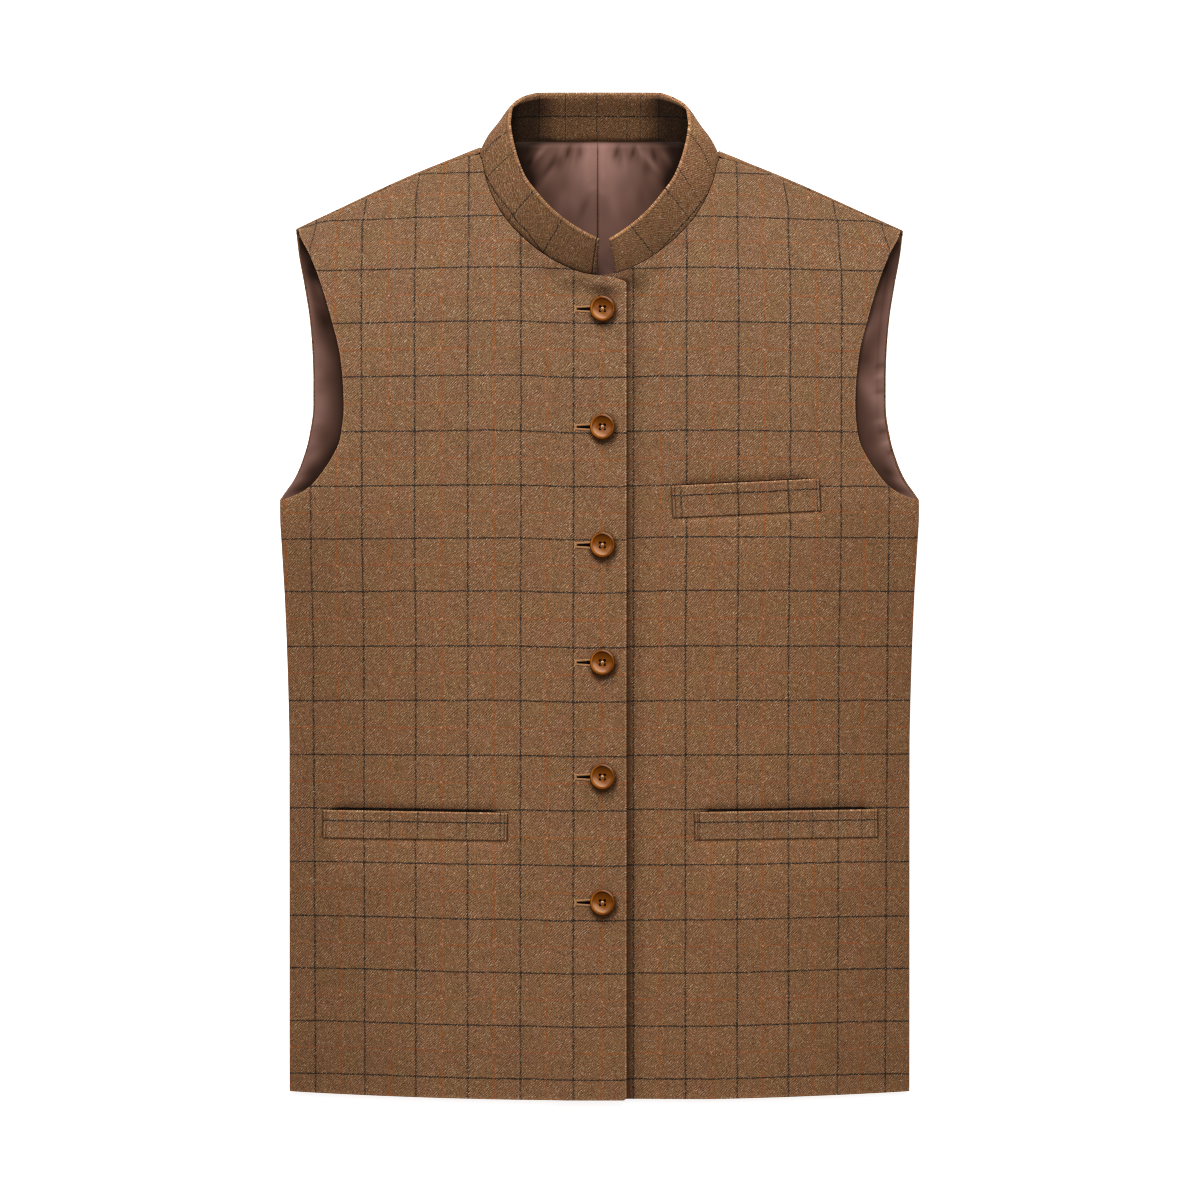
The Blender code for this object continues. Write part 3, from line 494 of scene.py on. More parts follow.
def tweed(name, tone=1.0, seed=0.0, turn=0.61, rust=1.0, crisp=1.0, curls=0.66, extra=None, grade=None, bare=None):
    """Herringbone tweed from the cloth's own coordinates: twill ridges with slubs, a dark blue windowpane and a rust
        overcheck. aux.x is the distance in millimetres from the nearest free edge, along which a highlight is painted,
        and aux.y a painted shade. extra is a function that gives further painted shade for one piece, grade one that
        says how cool its colour is, and bare one that is 0
    where no rust line runs up the cloth. crisp scales the
        weave's contrast, and a lower value of curls gives more stray pale hairs."""
    g = Graph(name)
    u0, v0, _ = g.split(g.uv("cloth"))
    cu, cv, _ = g.split(g.uv("check"))
    edge, shade, _ = g.split(g.uv("aux"))
    flat = g.xyz(g.m("ADD", u0, seed), g.m("ADD", v0, seed * 0.7))
    # yarns wander a little
    wx, wy, _ = g.split(g.noise(flat, 0.06, 2.0, 0.5, out=1))
    wx, wy = g.m("SUBTRACT", wx, 0.5), g.m("SUBTRACT", wy, 0.5)
    u, v = g.m("ADD", wx, u0), g.m("ADD", wy, v0)
    # twill to the right, with strips and patches of it turned to the left
    d1 = g.m("MULTIPLY", g.m("SUBTRACT", u, v), 0.7071)
    d2 = g.m("MULTIPLY", g.m("ADD", u, v), 0.7071)
    column = g.m("FLOOR", g.m("DIVIDE", g.m("ADD", u, seed), 6.6))
    turned = g.step(g.noise(g.xyz(g.m("MULTIPLY", column, 7.31), g.m("MULTIPLY", v, 0.07)), 1.0, 1.0, 0.6), turn, turn + 0.02)
    turned = g.m("MAXIMUM", turned, g.step(g.noise(flat, 0.16, 1.5, 0.55), turn + 0.07, turn + 0.09))
    across = g.mixf(turned, d1, d2)
    along = g.mixf(turned, d2, g.m("MULTIPLY", d1, -1.0))
    jitter = g.noise(flat, 0.22, 3.0, 0.6)
    phase = g.m("MULTIPLY_ADD", across, 2 * math.pi / TWILL, g.m("MULTIPLY", g.m("SUBTRACT", jitter, 0.5), 9.5))
    ridge = g.m("SINE", phase)
    # slubs run along the ridges
    long = g.noise(g.xyz(g.m("MULTIPLY", across, 1.15), g.m("MULTIPLY", along, 0.44)), 1.0, 1.0, 0.5)
    short = g.noise(g.xyz(g.m("MULTIPLY", across, 1.05), g.m("MULTIPLY_ADD", along, 0.80, 31.7)), 1.0, 1.0, 0.5)
    tint = g.noise(g.xyz(g.m("MULTIPLY_ADD", across, 0.8, 11.0), g.m("MULTIPLY", along, 0.40)), 1.0, 1.0, 0.5)
    fuzz = g.noise(flat, 0.85, 2.0, 0.75)
    # longer pale strokes where the yarn stands up, and a mottle over one or two centimetres
    stroke = g.noise(g.xyz(g.m("MULTIPLY", across, 1.15), g.m("MULTIPLY_ADD", along, 0.24, 57.3)), 1.0, 1.0, 0.55)
    mottle = g.noise(g.xyz(g.m("ADD", u0, seed + 140.0), v0), 0.13, 2.0, 0.6)
    relief = g.m("MULTIPLY", ridge, g.step(short, 0.25, 0.80, 0.10, 1.0))
    relief = g.m("MULTIPLY", relief, g.m("MULTIPLY_ADD", turned, -0.30, 1.0))
    light = g.m("MULTIPLY_ADD", relief, 0.37 * crisp, g.m("MULTIPLY", g.m("SUBTRACT", long, 0.5), 0.50 * crisp))
    light = g.m("MULTIPLY_ADD", g.m("SUBTRACT", fuzz, 0.5), 0.66 * (0.5 + 0.5 * crisp), light)
    light = g.m("MULTIPLY_ADD", g.step(stroke, 0.52, 0.76), 0.20 * crisp, light)
    light = g.m("MULTIPLY_ADD", g.step(stroke, 0.46, 0.24), -0.10 * crisp, light)
    light = g.m("MULTIPLY_ADD", g.m("SUBTRACT", mottle, 0.5), 0.20, light)
    light = g.m("ADD", light, 0.482, clamp=True)
    body = g.ramp(
        light,
        [
            (0.00, srgb(58, 37, 24)),
            (0.25, srgb(96, 66, 44)),
            (0.50, srgb(124, 91, 63)),
            (0.75, srgb(152, 118, 87)),
            (0.92, srgb(180, 154, 127)),
            (1.00, srgb(196, 176, 152)),
        ],
    )
    body = g.mix(g.m("MULTIPLY", g.step(tint, 0.54, 0.68), 0.42 * crisp * crisp), body, srgb(152, 90, 46))
    body = g.mix(g.m("MULTIPLY", g.step(tint, 0.46, 0.32), 0.26 * crisp * crisp), body, srgb(100, 82, 66))
    # clouds of colour over a few centimetres
    cloud = g.noise(flat, 0.03, 3.0, 0.55)
    warm = g.noise(g.xyz(g.m("ADD", u0, seed + 300.0), v0), 0.05, 2.0, 0.5)
    body = g.mix(1.0, body, g.ramp(cloud, [(0.25, (0.955, 0.95, 0.945)), (0.75, (1.045, 1.035, 1.02))]), blend="MULTIPLY")
    body = g.mix(1.0, body, g.ramp(warm, [(0.30, (1.02, 0.98, 1.03)), (0.70, (0.98, 1.01, 0.95))]), blend="MULTIPLY")
    # distances from the lines of the check
    ku = g.m("DIVIDE", g.m("ADD", cu, wx), CHECK_W)
    kv = g.m("DIVIDE", g.m("ADD", cv, wy), CHECK_H)
    nu = g.m("MULTIPLY", g.m("ABSOLUTE", g.m("SUBTRACT", g.m("FRACT", g.m("ADD", ku, 0.5)), 0.5)), CHECK_W)
    nv = g.m("MULTIPLY", g.m("ABSOLUTE", g.m("SUBTRACT", g.m("FRACT", g.m("ADD", kv, 0.5)), 0.5)), CHECK_H)
    ru = g.m("MULTIPLY", g.m("ABSOLUTE", g.m("SUBTRACT", g.m("FRACT", ku), 0.5)), CHECK_W)
    rv = g.m("MULTIPLY", g.m("ABSOLUTE", g.m("SUBTRACT", g.m("FRACT", kv), 0.5)), CHECK_H)
    # rust: thin, broken by the slubs, and stronger in some stretches than in others
    broken = g.step(g.m("MULTIPLY_ADD", relief, 0.14, long), 0.34, 0.62, 0.12, 1.0)
    stretch = g.step(warm, 0.35, 0.65, 0.45, 1.0)
    rust_u = g.m("MULTIPLY", g.m("MULTIPLY", g.step(ru, 1.25, 0.35), stretch), 0.68 * rust)
    if bare:
        rust_u = g.m("MULTIPLY", rust_u, bare(g))
    rust_v = g.m("MULTIPLY", g.m("MULTIPLY", g.step(rv, 1.15, 0.40), g.step(cloud, 0.30, 0.62, 0.50, 1.0)), 0.50 * rust)
    rust_line = g.m("MULTIPLY", g.m("MAXIMUM", rust_u, rust_v), broken)
    body = g.mix(rust_line, body, srgb(160, 74, 12))
    # dark blue, ticked where the ridges pass over it, and fainter up the cloth than across it
    faint = g.step(g.noise(flat, 0.33, 1.0, 0.5), 0.34, 0.56, 0.62, 1.0)
    navy_u = g.m("MULTIPLY", g.step(g.m("MULTIPLY_ADD", relief, 0.66, nu), 1.02, 0.42), faint)
    navy_v = g.step(g.m("MULTIPLY_ADD", relief, 0.40, nv), 0.88, 0.38)
    navy = g.m("MULTIPLY", g.m("MAXIMUM", navy_u, navy_v), g.step(long, 0.36, 0.68, 0.98, 0.58))
    both = g.m("MULTIPLY", g.step(nu, 1.2, 0.6), g.step(nv, 1.2, 0.6))
    navy = g.m("MAXIMUM", navy, g.m("MULTIPLY", both, 0.92))
    body = g.mix(navy, body, srgb(33, 32, 31))
    # pale flecks, most of them where rust crosses rust
    cross = g.m("MULTIPLY", g.step(ru, 1.4, 0.5), g.step(rv, 1.4, 0.5))
    fleck = g.noise(flat, 0.9, 0.0, 0.5)
    fleck = g.m("MAXIMUM", g.m("MULTIPLY", cross, g.step(fleck, 0.50, 0.62)), g.step(fleck, 0.83, 0.87))
    # stray hairs lie on the cloth in short curls
    hair = g.m("ABSOLUTE", g.m("SUBTRACT", g.noise(flat, 0.50, 0.0, 0.5), 0.5))
    hair = g.m("MULTIPLY", g.step(hair, 0.050, 0.018), g.step(g.noise(g.xyz(g.m("ADD", u0, seed + 70.0), v0), 0.42, 1.0, 0.5), curls, curls + 0.05))
    fleck = g.m("MAXIMUM", g.m("MULTIPLY", fleck, 0.62), g.m("MULTIPLY", hair, 0.50))
    body = g.mix(fleck, body, srgb(200, 180, 154))
    # painted highlight along the free edges, where the rolled edge catches the light; painted shade, warmer as it
    # deepens; tone of the piece
    edge_highlight = g.step(edge, 1.9, 0.3, 1.0, 1.46)
    if extra:
        shade = g.m("MINIMUM", g.m("ADD", shade, extra(g)), 0.94)
    value = g.m("MULTIPLY", g.m("MULTIPLY", edge_highlight, g.m("SUBTRACT", 1.0, shade)), 0.85 * tone)
    deep = g.m("MAXIMUM", shade, 0.0)
    body = g.mix(1.0, body, g.xyz(value, g.m("MULTIPLY", value, g.m("MULTIPLY_ADD", deep, -0.10, 1.0)), g.m("MULTIPLY", value, g.m("MULTIPLY_ADD", deep, -0.22, 1.0))), blend="MULTIPLY")
    if grade:
        body = g.mix(1.0, body, g.mix(grade(g), (1.0, 0.945, 0.885), (1.0, 1.03, 1.07)), blend="MULTIPLY")
    g.link(body, g.shader.inputs["Base Color"])
    g.shader.inputs["Roughness"].default_value = 0.92
    g.shader.inputs["Specular IOR Level"].default_value = 0.08
    g.shader.inputs["Sheen Weight"].default_value = 0.03
    g.shader.inputs["Sheen Roughness"].default_value = 0.5
    g.shader.inputs["Sheen Tint"].default_value = (1.0, 0.84, 0.66, 1.0)
    height = g.m("MULTIPLY_ADD", relief, 0.30, g.m("MULTIPLY_ADD", fuzz, 0.35, g.m("MULTIPLY", long, 0.5)))
    g.bump(height, 0.45, 0.0004)
    return g.mat


def bell(g, value, centre, width):
    """A soft bump of height 1 at centre, in nodes."""
    away = g.m("ABSOLUTE", g.m("SUBTRACT", value, centre) if centre else value)
    return g.step(away, width, 0.0)


def object_mm(g):
    x, y, z = g.split(g.node("ShaderNodeTexCoord").outputs["Object"])
    return g.m("MULTIPLY", x, 1000.0), g.m("MULTIPLY", y, 1000.0), g.m("MULTIPLY", z, 1000.0)


def front_grade(side):
    """The cloth looks greyer on the shoulders, where light falls on it from above, and warmer towards the hem."""
    return lambda g: g.step(object_mm(g)[1], -60.0, 300.0, 0.12 if side < 0 else 0.0, 1.0)


# Soft patches of painted shade on each front, painted light where the depth is below nought: x, y, reach across, reach
# up, depth.
SHADES = {
    -1: [(2.0, 232.5, 15.0, 8.5, 0.60), (-17.0, 237.0, 26.0, 10.0, 0.38), (12.0, 240.0, 7.0, 5.0, -0.20), (11.0, 230.0, 13.0, 12.0, 0.22), (-60.0, 236.0, 30.0, 16.0, 0.06), (-37.0, 249.0, 20.0, 13.0, 0.27), (-57.0, 263.0, 17.0, 13.0, 0.27)],
    1: [(29.0, 240.0, 16.0, 12.0, 0.36), (44.0, 222.0, 20.0, 20.0, 0.10), (42.0, 251.0, 16.0, 12.0, 0.22), (60.0, 265.0, 14.0, 11.0, 0.14)],
}


def front_shade(side):
    """Painted shade in the hollow beside the lap, round the buttons and the pocket welts and along the side edges of a
    front, and painted light on the upper chest.
    """

    def build(g):
        x, y, _ = object_mm(g)
        # painted light on the upper chest and shoulders, where light gathers
        total = g.step(y, 140.0, 290.0, 0.0, -0.09)
        if side > 0:
            # painted shade beside the lap, by the distance outside its rounded outline
            r = 3.2
            qx = g.m("MAXIMUM", g.m("SUBTRACT", x, LAP + LAP_OVER - r), 0.0)
            qy = g.m("MAXIMUM", g.m("SUBTRACT", y, 240.3 - r), 0.0)
            away = g.m("SUBTRACT", g.m("SQRT", g.m("ADD", g.m("MULTIPLY", qx, qx), g.m("MULTIPLY", qy, qy))), r)
            low = g.step(y, 190.0, -260.0)
            beside = g.m("MULTIPLY", g.step(away, -1.0, 0.6), g.step(away, g.m("MULTIPLY_ADD", low, 1.6, 5.2), g.m("MULTIPLY_ADD", low, 2.4, -0.2)))
            total = g.m("ADD", total, g.m("MULTIPLY", beside, 0.44))
            total = g.m("ADD", total, g.m("MULTIPLY", g.step(away, 19.0, 2.0), 0.25))
        else:
            # painted shade round each button, where it presses into the cloth, mostly below it
            for by in BUTTON_Y:
                dx, dy = g.m("SUBTRACT", x, BUTTON_X + 0.8), g.m("SUBTRACT", y, by - 1.6)
                away = g.m("SQRT", g.m("ADD", g.m("MULTIPLY", dx, dx), g.m("MULTIPLY", dy, dy)))
                total = g.m("ADD", total, g.m("MULTIPLY", g.step(away, 13.2, 9.2), 0.60))
        # painted patches of shade, and one of light, beside the neck's lowest point
        for px, py, rx, ry, depth in SHADES[side]:
            dx, dy = g.m("MULTIPLY", g.m("SUBTRACT", x, px), 1 / rx), g.m("MULTIPLY", g.m("SUBTRACT", y, py), 1 / ry)
            away = g.m("SQRT", g.m("ADD", g.m("MULTIPLY", dx, dx), g.m("MULTIPLY", dy, dy)))
            total = g.m("ADD", total, g.m("MULTIPLY", g.step(away, 1.0, 0.1), depth))
        for w in WELTS.values():
            if w["side"] != side:
                continue
            c, s = math.cos(math.radians(w["tilt"])), math.sin(math.radians(w["tilt"]))
            dx, dy = g.m("SUBTRACT", x, w["x"]), g.m("SUBTRACT", y, w["y"])
            a = g.m("ABSOLUTE", g.m("ADD", g.m("MULTIPLY", dx, c), g.m("MULTIPLY", dy, s)))
            b = g.m("SUBTRACT", g.m("MULTIPLY", dy, c), g.m("MULTIPLY", dx, s))
            ends, over = g.m("SUBTRACT", a, w["length"] / 2), g.m("SUBTRACT", b, w["height"] / 2)
            below = g.m("SUBTRACT", g.m("ABSOLUTE", b), w["height"] / 2)
            near = g.m("MAXIMUM", ends, below)
            mouth = g.step(ends, -3.0, -14.0)
            chest = w["y"] > 0
            # painted shade in a thin line round the welt's edges
            total = g.m("ADD", total, g.m("MULTIPLY", bell(g, near, -0.1, 1.0), 0.42))
            # painted highlight on the cloth just below its lower edge
            foot = g.m("SUBTRACT", g.m("MULTIPLY", b, -1.0), w["height"] / 2)
            lip = g.m("MULTIPLY", g.m("ADD", g.m("MULTIPLY", bell(g, foot, 1.3, 1.1), 0.22), g.m("MULTIPLY", bell(g, foot, 2.0, 7.0), 0.24)), g.step(ends, 1.0, -2.0))
            total = g.m("SUBTRACT", total, lip)
            # painted shade in the pocket's mouth above the welt, softer higher up
            total = g.m("ADD", total, g.m("MULTIPLY", g.m("MULTIPLY", mouth, bell(g, over, 0.5, 1.5 if chest else 2.3)), 0.55 if chest else 0.9))
            total = g.m("ADD", total, g.m("MULTIPLY", g.m("MULTIPLY", mouth, bell(g, over, 1.0, 8.0)), 0.16 if chest else 0.30))
            total = g.m("MULTIPLY", total, g.step(near, -1.5, -0.5))
            # painted light on the cloth below, where it swells out again
            under = g.m("MULTIPLY", bell(g, over, -w["height"] - 17.0, 22.0), g.step(ends, 8.0, -16.0))
            total = g.m("SUBTRACT", total, g.m("MULTIPLY", under, 0.05 if chest else 0.14))
        # painted shade towards the side edges below the arm, where the cloth turns away from the light
        flank = g.m("SUBTRACT", 243.0, g.m("ABSOLUTE", x))
        low = g.step(y, UNDERARM + 20.0, UNDERARM - 30.0)
        total = g.m("ADD", total, g.m("MULTIPLY", g.m("MULTIPLY", g.step(flank, 150.0, 0.0), low), 0.20 if side < 0 else 0.15))
        return total

    return build


def above_top_button(g):
    """0 in the strip of cloth between the top button and the neck, and 1 elsewhere."""
    x, y, _ = object_mm(g)
    return g.m("MAXIMUM", g.step(g.m("ABSOLUTE", x), 14.0, 18.0), g.step(y, 220.0, 214.0))


def welt_shade(g):
    """Seam lines and a paler strip at a welt's ends, and a painted highlight along its top edge with a darker line
    below it. spot.x is the distance from the end and spot.y from the top.
    """
    end, top, _ = g.split(g.uv("spot"))
    total = g.m("MULTIPLY", bell(g, end, 2.6, 0.8), 0.50)
    total = g.m("ADD", total, g.m("MULTIPLY", bell(g, end, 0.0, 0.7), 0.50))
    total = g.m("SUBTRACT", total, g.m("MULTIPLY", bell(g, end, 1.4, 0.9), 0.18))
    # painted highlight along the top edge, and a darker line below it
    total = g.m("SUBTRACT", total, g.m("MULTIPLY", bell(g, top, 0.5, 1.2), 0.16))
    return g.m("ADD", total, g.m("MULTIPLY", bell(g, top, 2.3, 0.6), 0.14))


def collar_shade(g):
    """The rolled top edge of the collar: a stitched line with a painted highlight on the roll beside it, and the same
    stitched line round its ends.
    """
    top, end, _ = g.split(g.uv("spot"))
    stitch = g.m("MULTIPLY_ADD", g.m("SINE", g.m("MULTIPLY", g.split(g.uv("cloth"))[0], 2 * math.pi / 2.3)), 0.3, 0.7)
    inside = g.step(end, 2.2, 3.4)
    total = g.m("MULTIPLY", g.m("MULTIPLY", bell(g, top, 3.0, 0.8), g.m("MULTIPLY", stitch, inside)), 0.36)
    # painted highlight on the rolled top edge, where it catches the light
    total = g.m("SUBTRACT", total, g.m("MULTIPLY", bell(g, top, 1.3, 1.6), 0.32))
    total = g.m("ADD", total, g.m("MULTIPLY", g.m("MULTIPLY", bell(g, end, 3.2, 0.8), g.step(top, 2.6, 3.6)), 0.42))
    # the weave stands out more on the inner face, which alone carries the deep painted shade
    cu, cv, _ = g.split(g.uv("cloth"))
    _, shade, _ = g.split(g.uv("aux"))
    rough = g.m("SUBTRACT", 0.5, g.noise(g.xyz(cu, cv), 0.9, 2.0, 0.7))
    total = g.m("ADD", total, g.m("MULTIPLY", g.m("MULTIPLY", rough, 1.5), g.m("MULTIPLY", g.step(shade, 0.38, 0.48), g.m("SUBTRACT", 1.0, shade))))
    return g.m("ADD", total, g.m("MULTIPLY", bell(g, end, 0.0, 1.0), 0.25))


def satin(name):
    """Plain satin lining: a fine smooth weave with a soft gloss. aux.y is a painted shade."""
    g = Graph(name)
    place = g.node("ShaderNodeTexCoord").outputs["Object"]
    fine = g.noise(place, 1100.0, 1.0, 0.5, dims="3D")
    cloud = g.noise(place, 28.0, 2.0, 0.5, dims="3D")
    _, shade, _ = g.split(g.uv("aux"))
    colour = g.ramp(cloud, [(0.3, srgb(106, 78, 70)), (0.7, srgb(119, 88, 79))])
    colour = g.mix(g.m("MULTIPLY", fine, 0.14), colour, srgb(84, 58, 50))
    value = g.m("SUBTRACT", 1.0, shade)
    deep = g.m("MAXIMUM", shade, 0.0)
    colour = g.mix(1.0, colour, g.xyz(value, g.m("MULTIPLY", value, g.m("MULTIPLY_ADD", deep, -0.16, 1.0)), g.m("MULTIPLY", value, g.m("MULTIPLY_ADD", deep, -0.34, 1.0))), blend="MULTIPLY")
    g.link(colour, g.shader.inputs["Base Color"])
    g.shader.inputs["Roughness"].default_value = 0.42
    g.shader.inputs["Specular IOR Level"].default_value = 0.06
    g.shader.inputs["Specular Tint"].default_value = (1.0, 0.74, 0.64, 1.0)
    g.bump(fine, 0.12, 0.0001)
    return g.mat


def button_brown(name):
    g = Graph(name)
    place = g.node("ShaderNodeTexCoord").outputs["Object"]
    x, y, z = g.split(place)
    grain = g.noise(g.xyz(g.m("MULTIPLY", x, 90.0), g.m("MULTIPLY", y, 260.0), g.m("MULTIPLY", z, 90.0)), 1.0, 3.0, 0.55, dims="3D")
    colour = g.ramp(grain, [(0.30, srgb(102, 51, 3)), (0.52, srgb(115, 60, 5)), (0.75, srgb(128, 70, 8))])
    # painted shade in the bowl below its upper rim and a painted highlight where the bowl faces the light; on the rim,
    # painted light towards the lower left, a painted highlight at the upper right, and painted shade at its foot, on
    # the side turned away and down the side wall
    mx, my, mz = object_mm(g)
    out = g.m("SQRT", g.m("ADD", g.m("MULTIPLY", mx, mx), g.m("MULTIPLY", my, my)))
    bowl = g.m("MULTIPLY", g.step(out, 7.8, 7.4), g.step(mz, 0.9, 1.2))
    upper = g.m("MULTIPLY", g.step(g.m("MULTIPLY_ADD", mx, 0.25, my), -2.0, 8.0), bowl)
    lower = g.m("MULTIPLY", g.step(g.m("MULTIPLY_ADD", mx, 0.62, my), -2.4, -7.8), bowl)
    rim = g.m("MULTIPLY", g.step(out, 7.3, 7.7), g.step(mz, 2.6, 3.0))
    lit = g.m("MULTIPLY", g.step(g.m("MULTIPLY_ADD", mx, 0.50, my), 7.2, 9.2), g.m("MULTIPLY", rim, g.step(out, 9.1, 8.5)))
    side = g.m("MULTIPLY", g.step(mz, 3.05, 2.3), g.step(out, 8.2, 8.8))
    foot = g.m("MULTIPLY", g.step(g.m("MULTIPLY_ADD", mx, -0.35, my), -3.0, -8.0), rim)
    away = g.m("MULTIPLY", g.step(g.m("MULTIPLY_ADD", my, -0.45, mx), 3.6, 9.0), rim)
    rim_lower_left_light = g.m("MULTIPLY", g.step(g.m("MULTIPLY_ADD", mx, 0.60, my), 2.4, -3.4, 0.08, 0.50), rim)
    # the painted shade and highlights laid over the button's colour
    colour = g.mix(g.m("MULTIPLY", upper, 0.80), colour, srgb(52, 22, 1))
    colour = g.mix(g.m("MULTIPLY", lower, 0.56), colour, srgb(210, 158, 120))
    colour = g.mix(rim_lower_left_light, colour, srgb(158, 90, 20))
    colour = g.mix(g.m("MULTIPLY", foot, 0.70), colour, srgb(104, 54, 12))
    colour = g.mix(g.m("MULTIPLY", away, 0.50), colour, srgb(62, 26, 3))
    colour = g.mix(g.m("MULTIPLY", lit, 0.18), colour, srgb(210, 184, 166))
    colour = g.mix(g.m("MULTIPLY", side, 0.70), colour, srgb(58, 26, 3))
    g.link(colour, g.shader.inputs["Base Color"])
    g.shader.inputs["Roughness"].default_value = 0.24
    g.shader.inputs["Specular IOR Level"].default_value = 0.03
    g.shader.inputs["Coat Weight"].default_value = 0.02
    g.shader.inputs["Coat Roughness"].default_value = 0.18
    return g.mat


def thread(name, rgb, pitch=1400.0):
    g = Graph(name)
    place = g.node("ShaderNodeTexCoord").outputs["Object"]
    fine = g.noise(place, pitch, 2.0, 0.6, dims="3D")
    colour = g.ramp(fine, [(0.3, tuple(c * 0.62 for c in rgb)), (0.7, tuple(min(1.0, c * 1.25) for c in rgb))])
    g.link(colour, g.shader.inputs["Base Color"])
    g.shader.inputs["Roughness"].default_value = 0.72
    g.shader.inputs["Sheen Weight"].default_value = 0.15
    g.bump(fine, 0.5, 0.0001)
    return g.mat


TWEED = {
    side: tweed(f"tweed_front_{name}", extra=front_shade(side), grade=front_grade(side), bare=above_top_button)
    for side, name in ((1, "left"), (-1, "right"))
}
TWEED_BACK = tweed("tweed_back", seed=57.0, grade=lambda g: 0.4)
TWEED_COLLAR = tweed("tweed_collar", tone=0.93, seed=23.0, rust=0.3, crisp=0.98, curls=0.57, extra=collar_shade, grade=lambda g: 0.02)
TWEED_WELT = tweed("tweed_welt", tone=0.945, seed=91.0, crisp=1.0, curls=0.58, extra=welt_shade, grade=lambda g: 0.2)
SATIN = satin("satin_lining")
BUTTON = button_brown("button_brown")
THREAD = thread("button_thread", srgb(206, 168, 128))
SILK = thread("buttonhole_silk", srgb(160, 112, 66))
# a near-black finish painted as the shadow inside the buttonhole slits
SLIT_SHADOW = thread("slit_shadow", srgb(15, 10, 7))
for name in ("Sheen Weight", "Specular IOR Level"):
    SLIT_SHADOW.node_tree.nodes["Principled BSDF"].inputs[name].default_value = 0.0

made = []


def place(obj, node=None, slot=None):
    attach(obj, "root")
    if node:
        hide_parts(*([node] if isinstance(node, str) else node))
    made.append(obj)
    return obj


# ------------------------------------------------------------------ the fronts
CREASES = {
    1: [
        (205, 120, 26, 9, 62, 0.55), (188, 96, 30, 8, 28, -0.45), (170, 250, 40, 16, -30, 0.45), (120, 20, 60, 26, 12, 0.40),
        (80, -80, 70, 24, 80, 0.45), (175, -60, 80, 22, 84, -0.45), (110, -250, 70, 26, 8, 0.40), (200, -290, 60, 18, 78, 0.45),
        (60, -330, 50, 20, 20, -0.35), (140, 180, 46, 20, 70, -0.40), (215, -140, 60, 12, 86, 0.40),
    ],
    -1: [
        (-204, 122, 26, 9, 118, 0.55), (-186, 98, 30, 8, 152, -0.45), (-168, 254, 40, 16, 30, 0.40), (-118, 40, 66, 26, 170, 0.40),
        (-84, -60, 70, 26, 96, -0.40), (-176, -40, 84, 22, 98, 0.45), (-104, -262, 66, 24, 174, 0.40), (-202, -280, 64, 18, 100, -0.45),
        (-66, -320, 50, 20, 160, 0.35), (-138, 176, 46, 20, 108, 0.40), (-216, -150, 60, 12, 92, -0.35),
    ],
}


def welt_frame(w, x, y):
    """Distances along and across a welt from its middle."""
    c, s = math.cos(math.radians(w["tilt"])), math.sin(math.radians(w["tilt"]))
    return (x - w["x"]) * c + (y - w["y"]) * s, -(x - w["x"]) * s + (y - w["y"]) * c


def front_detail(x, y, side):
    """Small shape on top of a front's surface: soft creases, pocket mouths, and the pull of buttons and holes."""
    inside = smooth((outline(y, "front") - np.abs(x) - 2.0) / 14.0) * smooth((fold_y(x, side) - y - 6.0) / 14.0)
    inside = inside * smooth((y - hem_y(x)) / 12.0) * smooth((side * x + LAP - 1.0) / 10.0)
    z = 1.6 * soft_marks(x, y, CREASES[side]) * inside
    for w in WELTS.values():
        if w["side"] != side:
            continue
        a, b = welt_frame(w, x, y)
        over = b - w["height"] / 2
        mouth = smooth((w["length"] / 2 - np.abs(a)) / 16.0)
        z = z - 1.7 * mouth * np.exp(-((over - 0.6) ** 2) / 3.2) - 0.5 * mouth * np.exp(-((over - 3.5) ** 2) / 18.0)
        # the front is a little hollow round the welt's other edges
        near = np.maximum(np.abs(a) - w["length"] / 2, np.abs(b) - w["height"] / 2)
        z = z - 0.35 * np.exp(-(near**2) / 1.6)
    for by in BUTTON_Y:
        d = np.hypot((x - BUTTON_X) / 13.0, (y - by) / 11.0)
        z = z - 0.35 * np.exp(-d * d)
        if side < 0:
            hole = np.exp(-(((y - by) / 1.6) ** 2)) * smooth((x + 19.5) / 2.0) * smooth((-3.0 - x) / 2.0)
            z = z - 0.45 * hole
            z = z + 0.30 * np.exp(-(((np.hypot(np.clip(np.abs(x + 12) - 7, 0, None), y - by) - 3.4) / 1.5) ** 2))
    return z


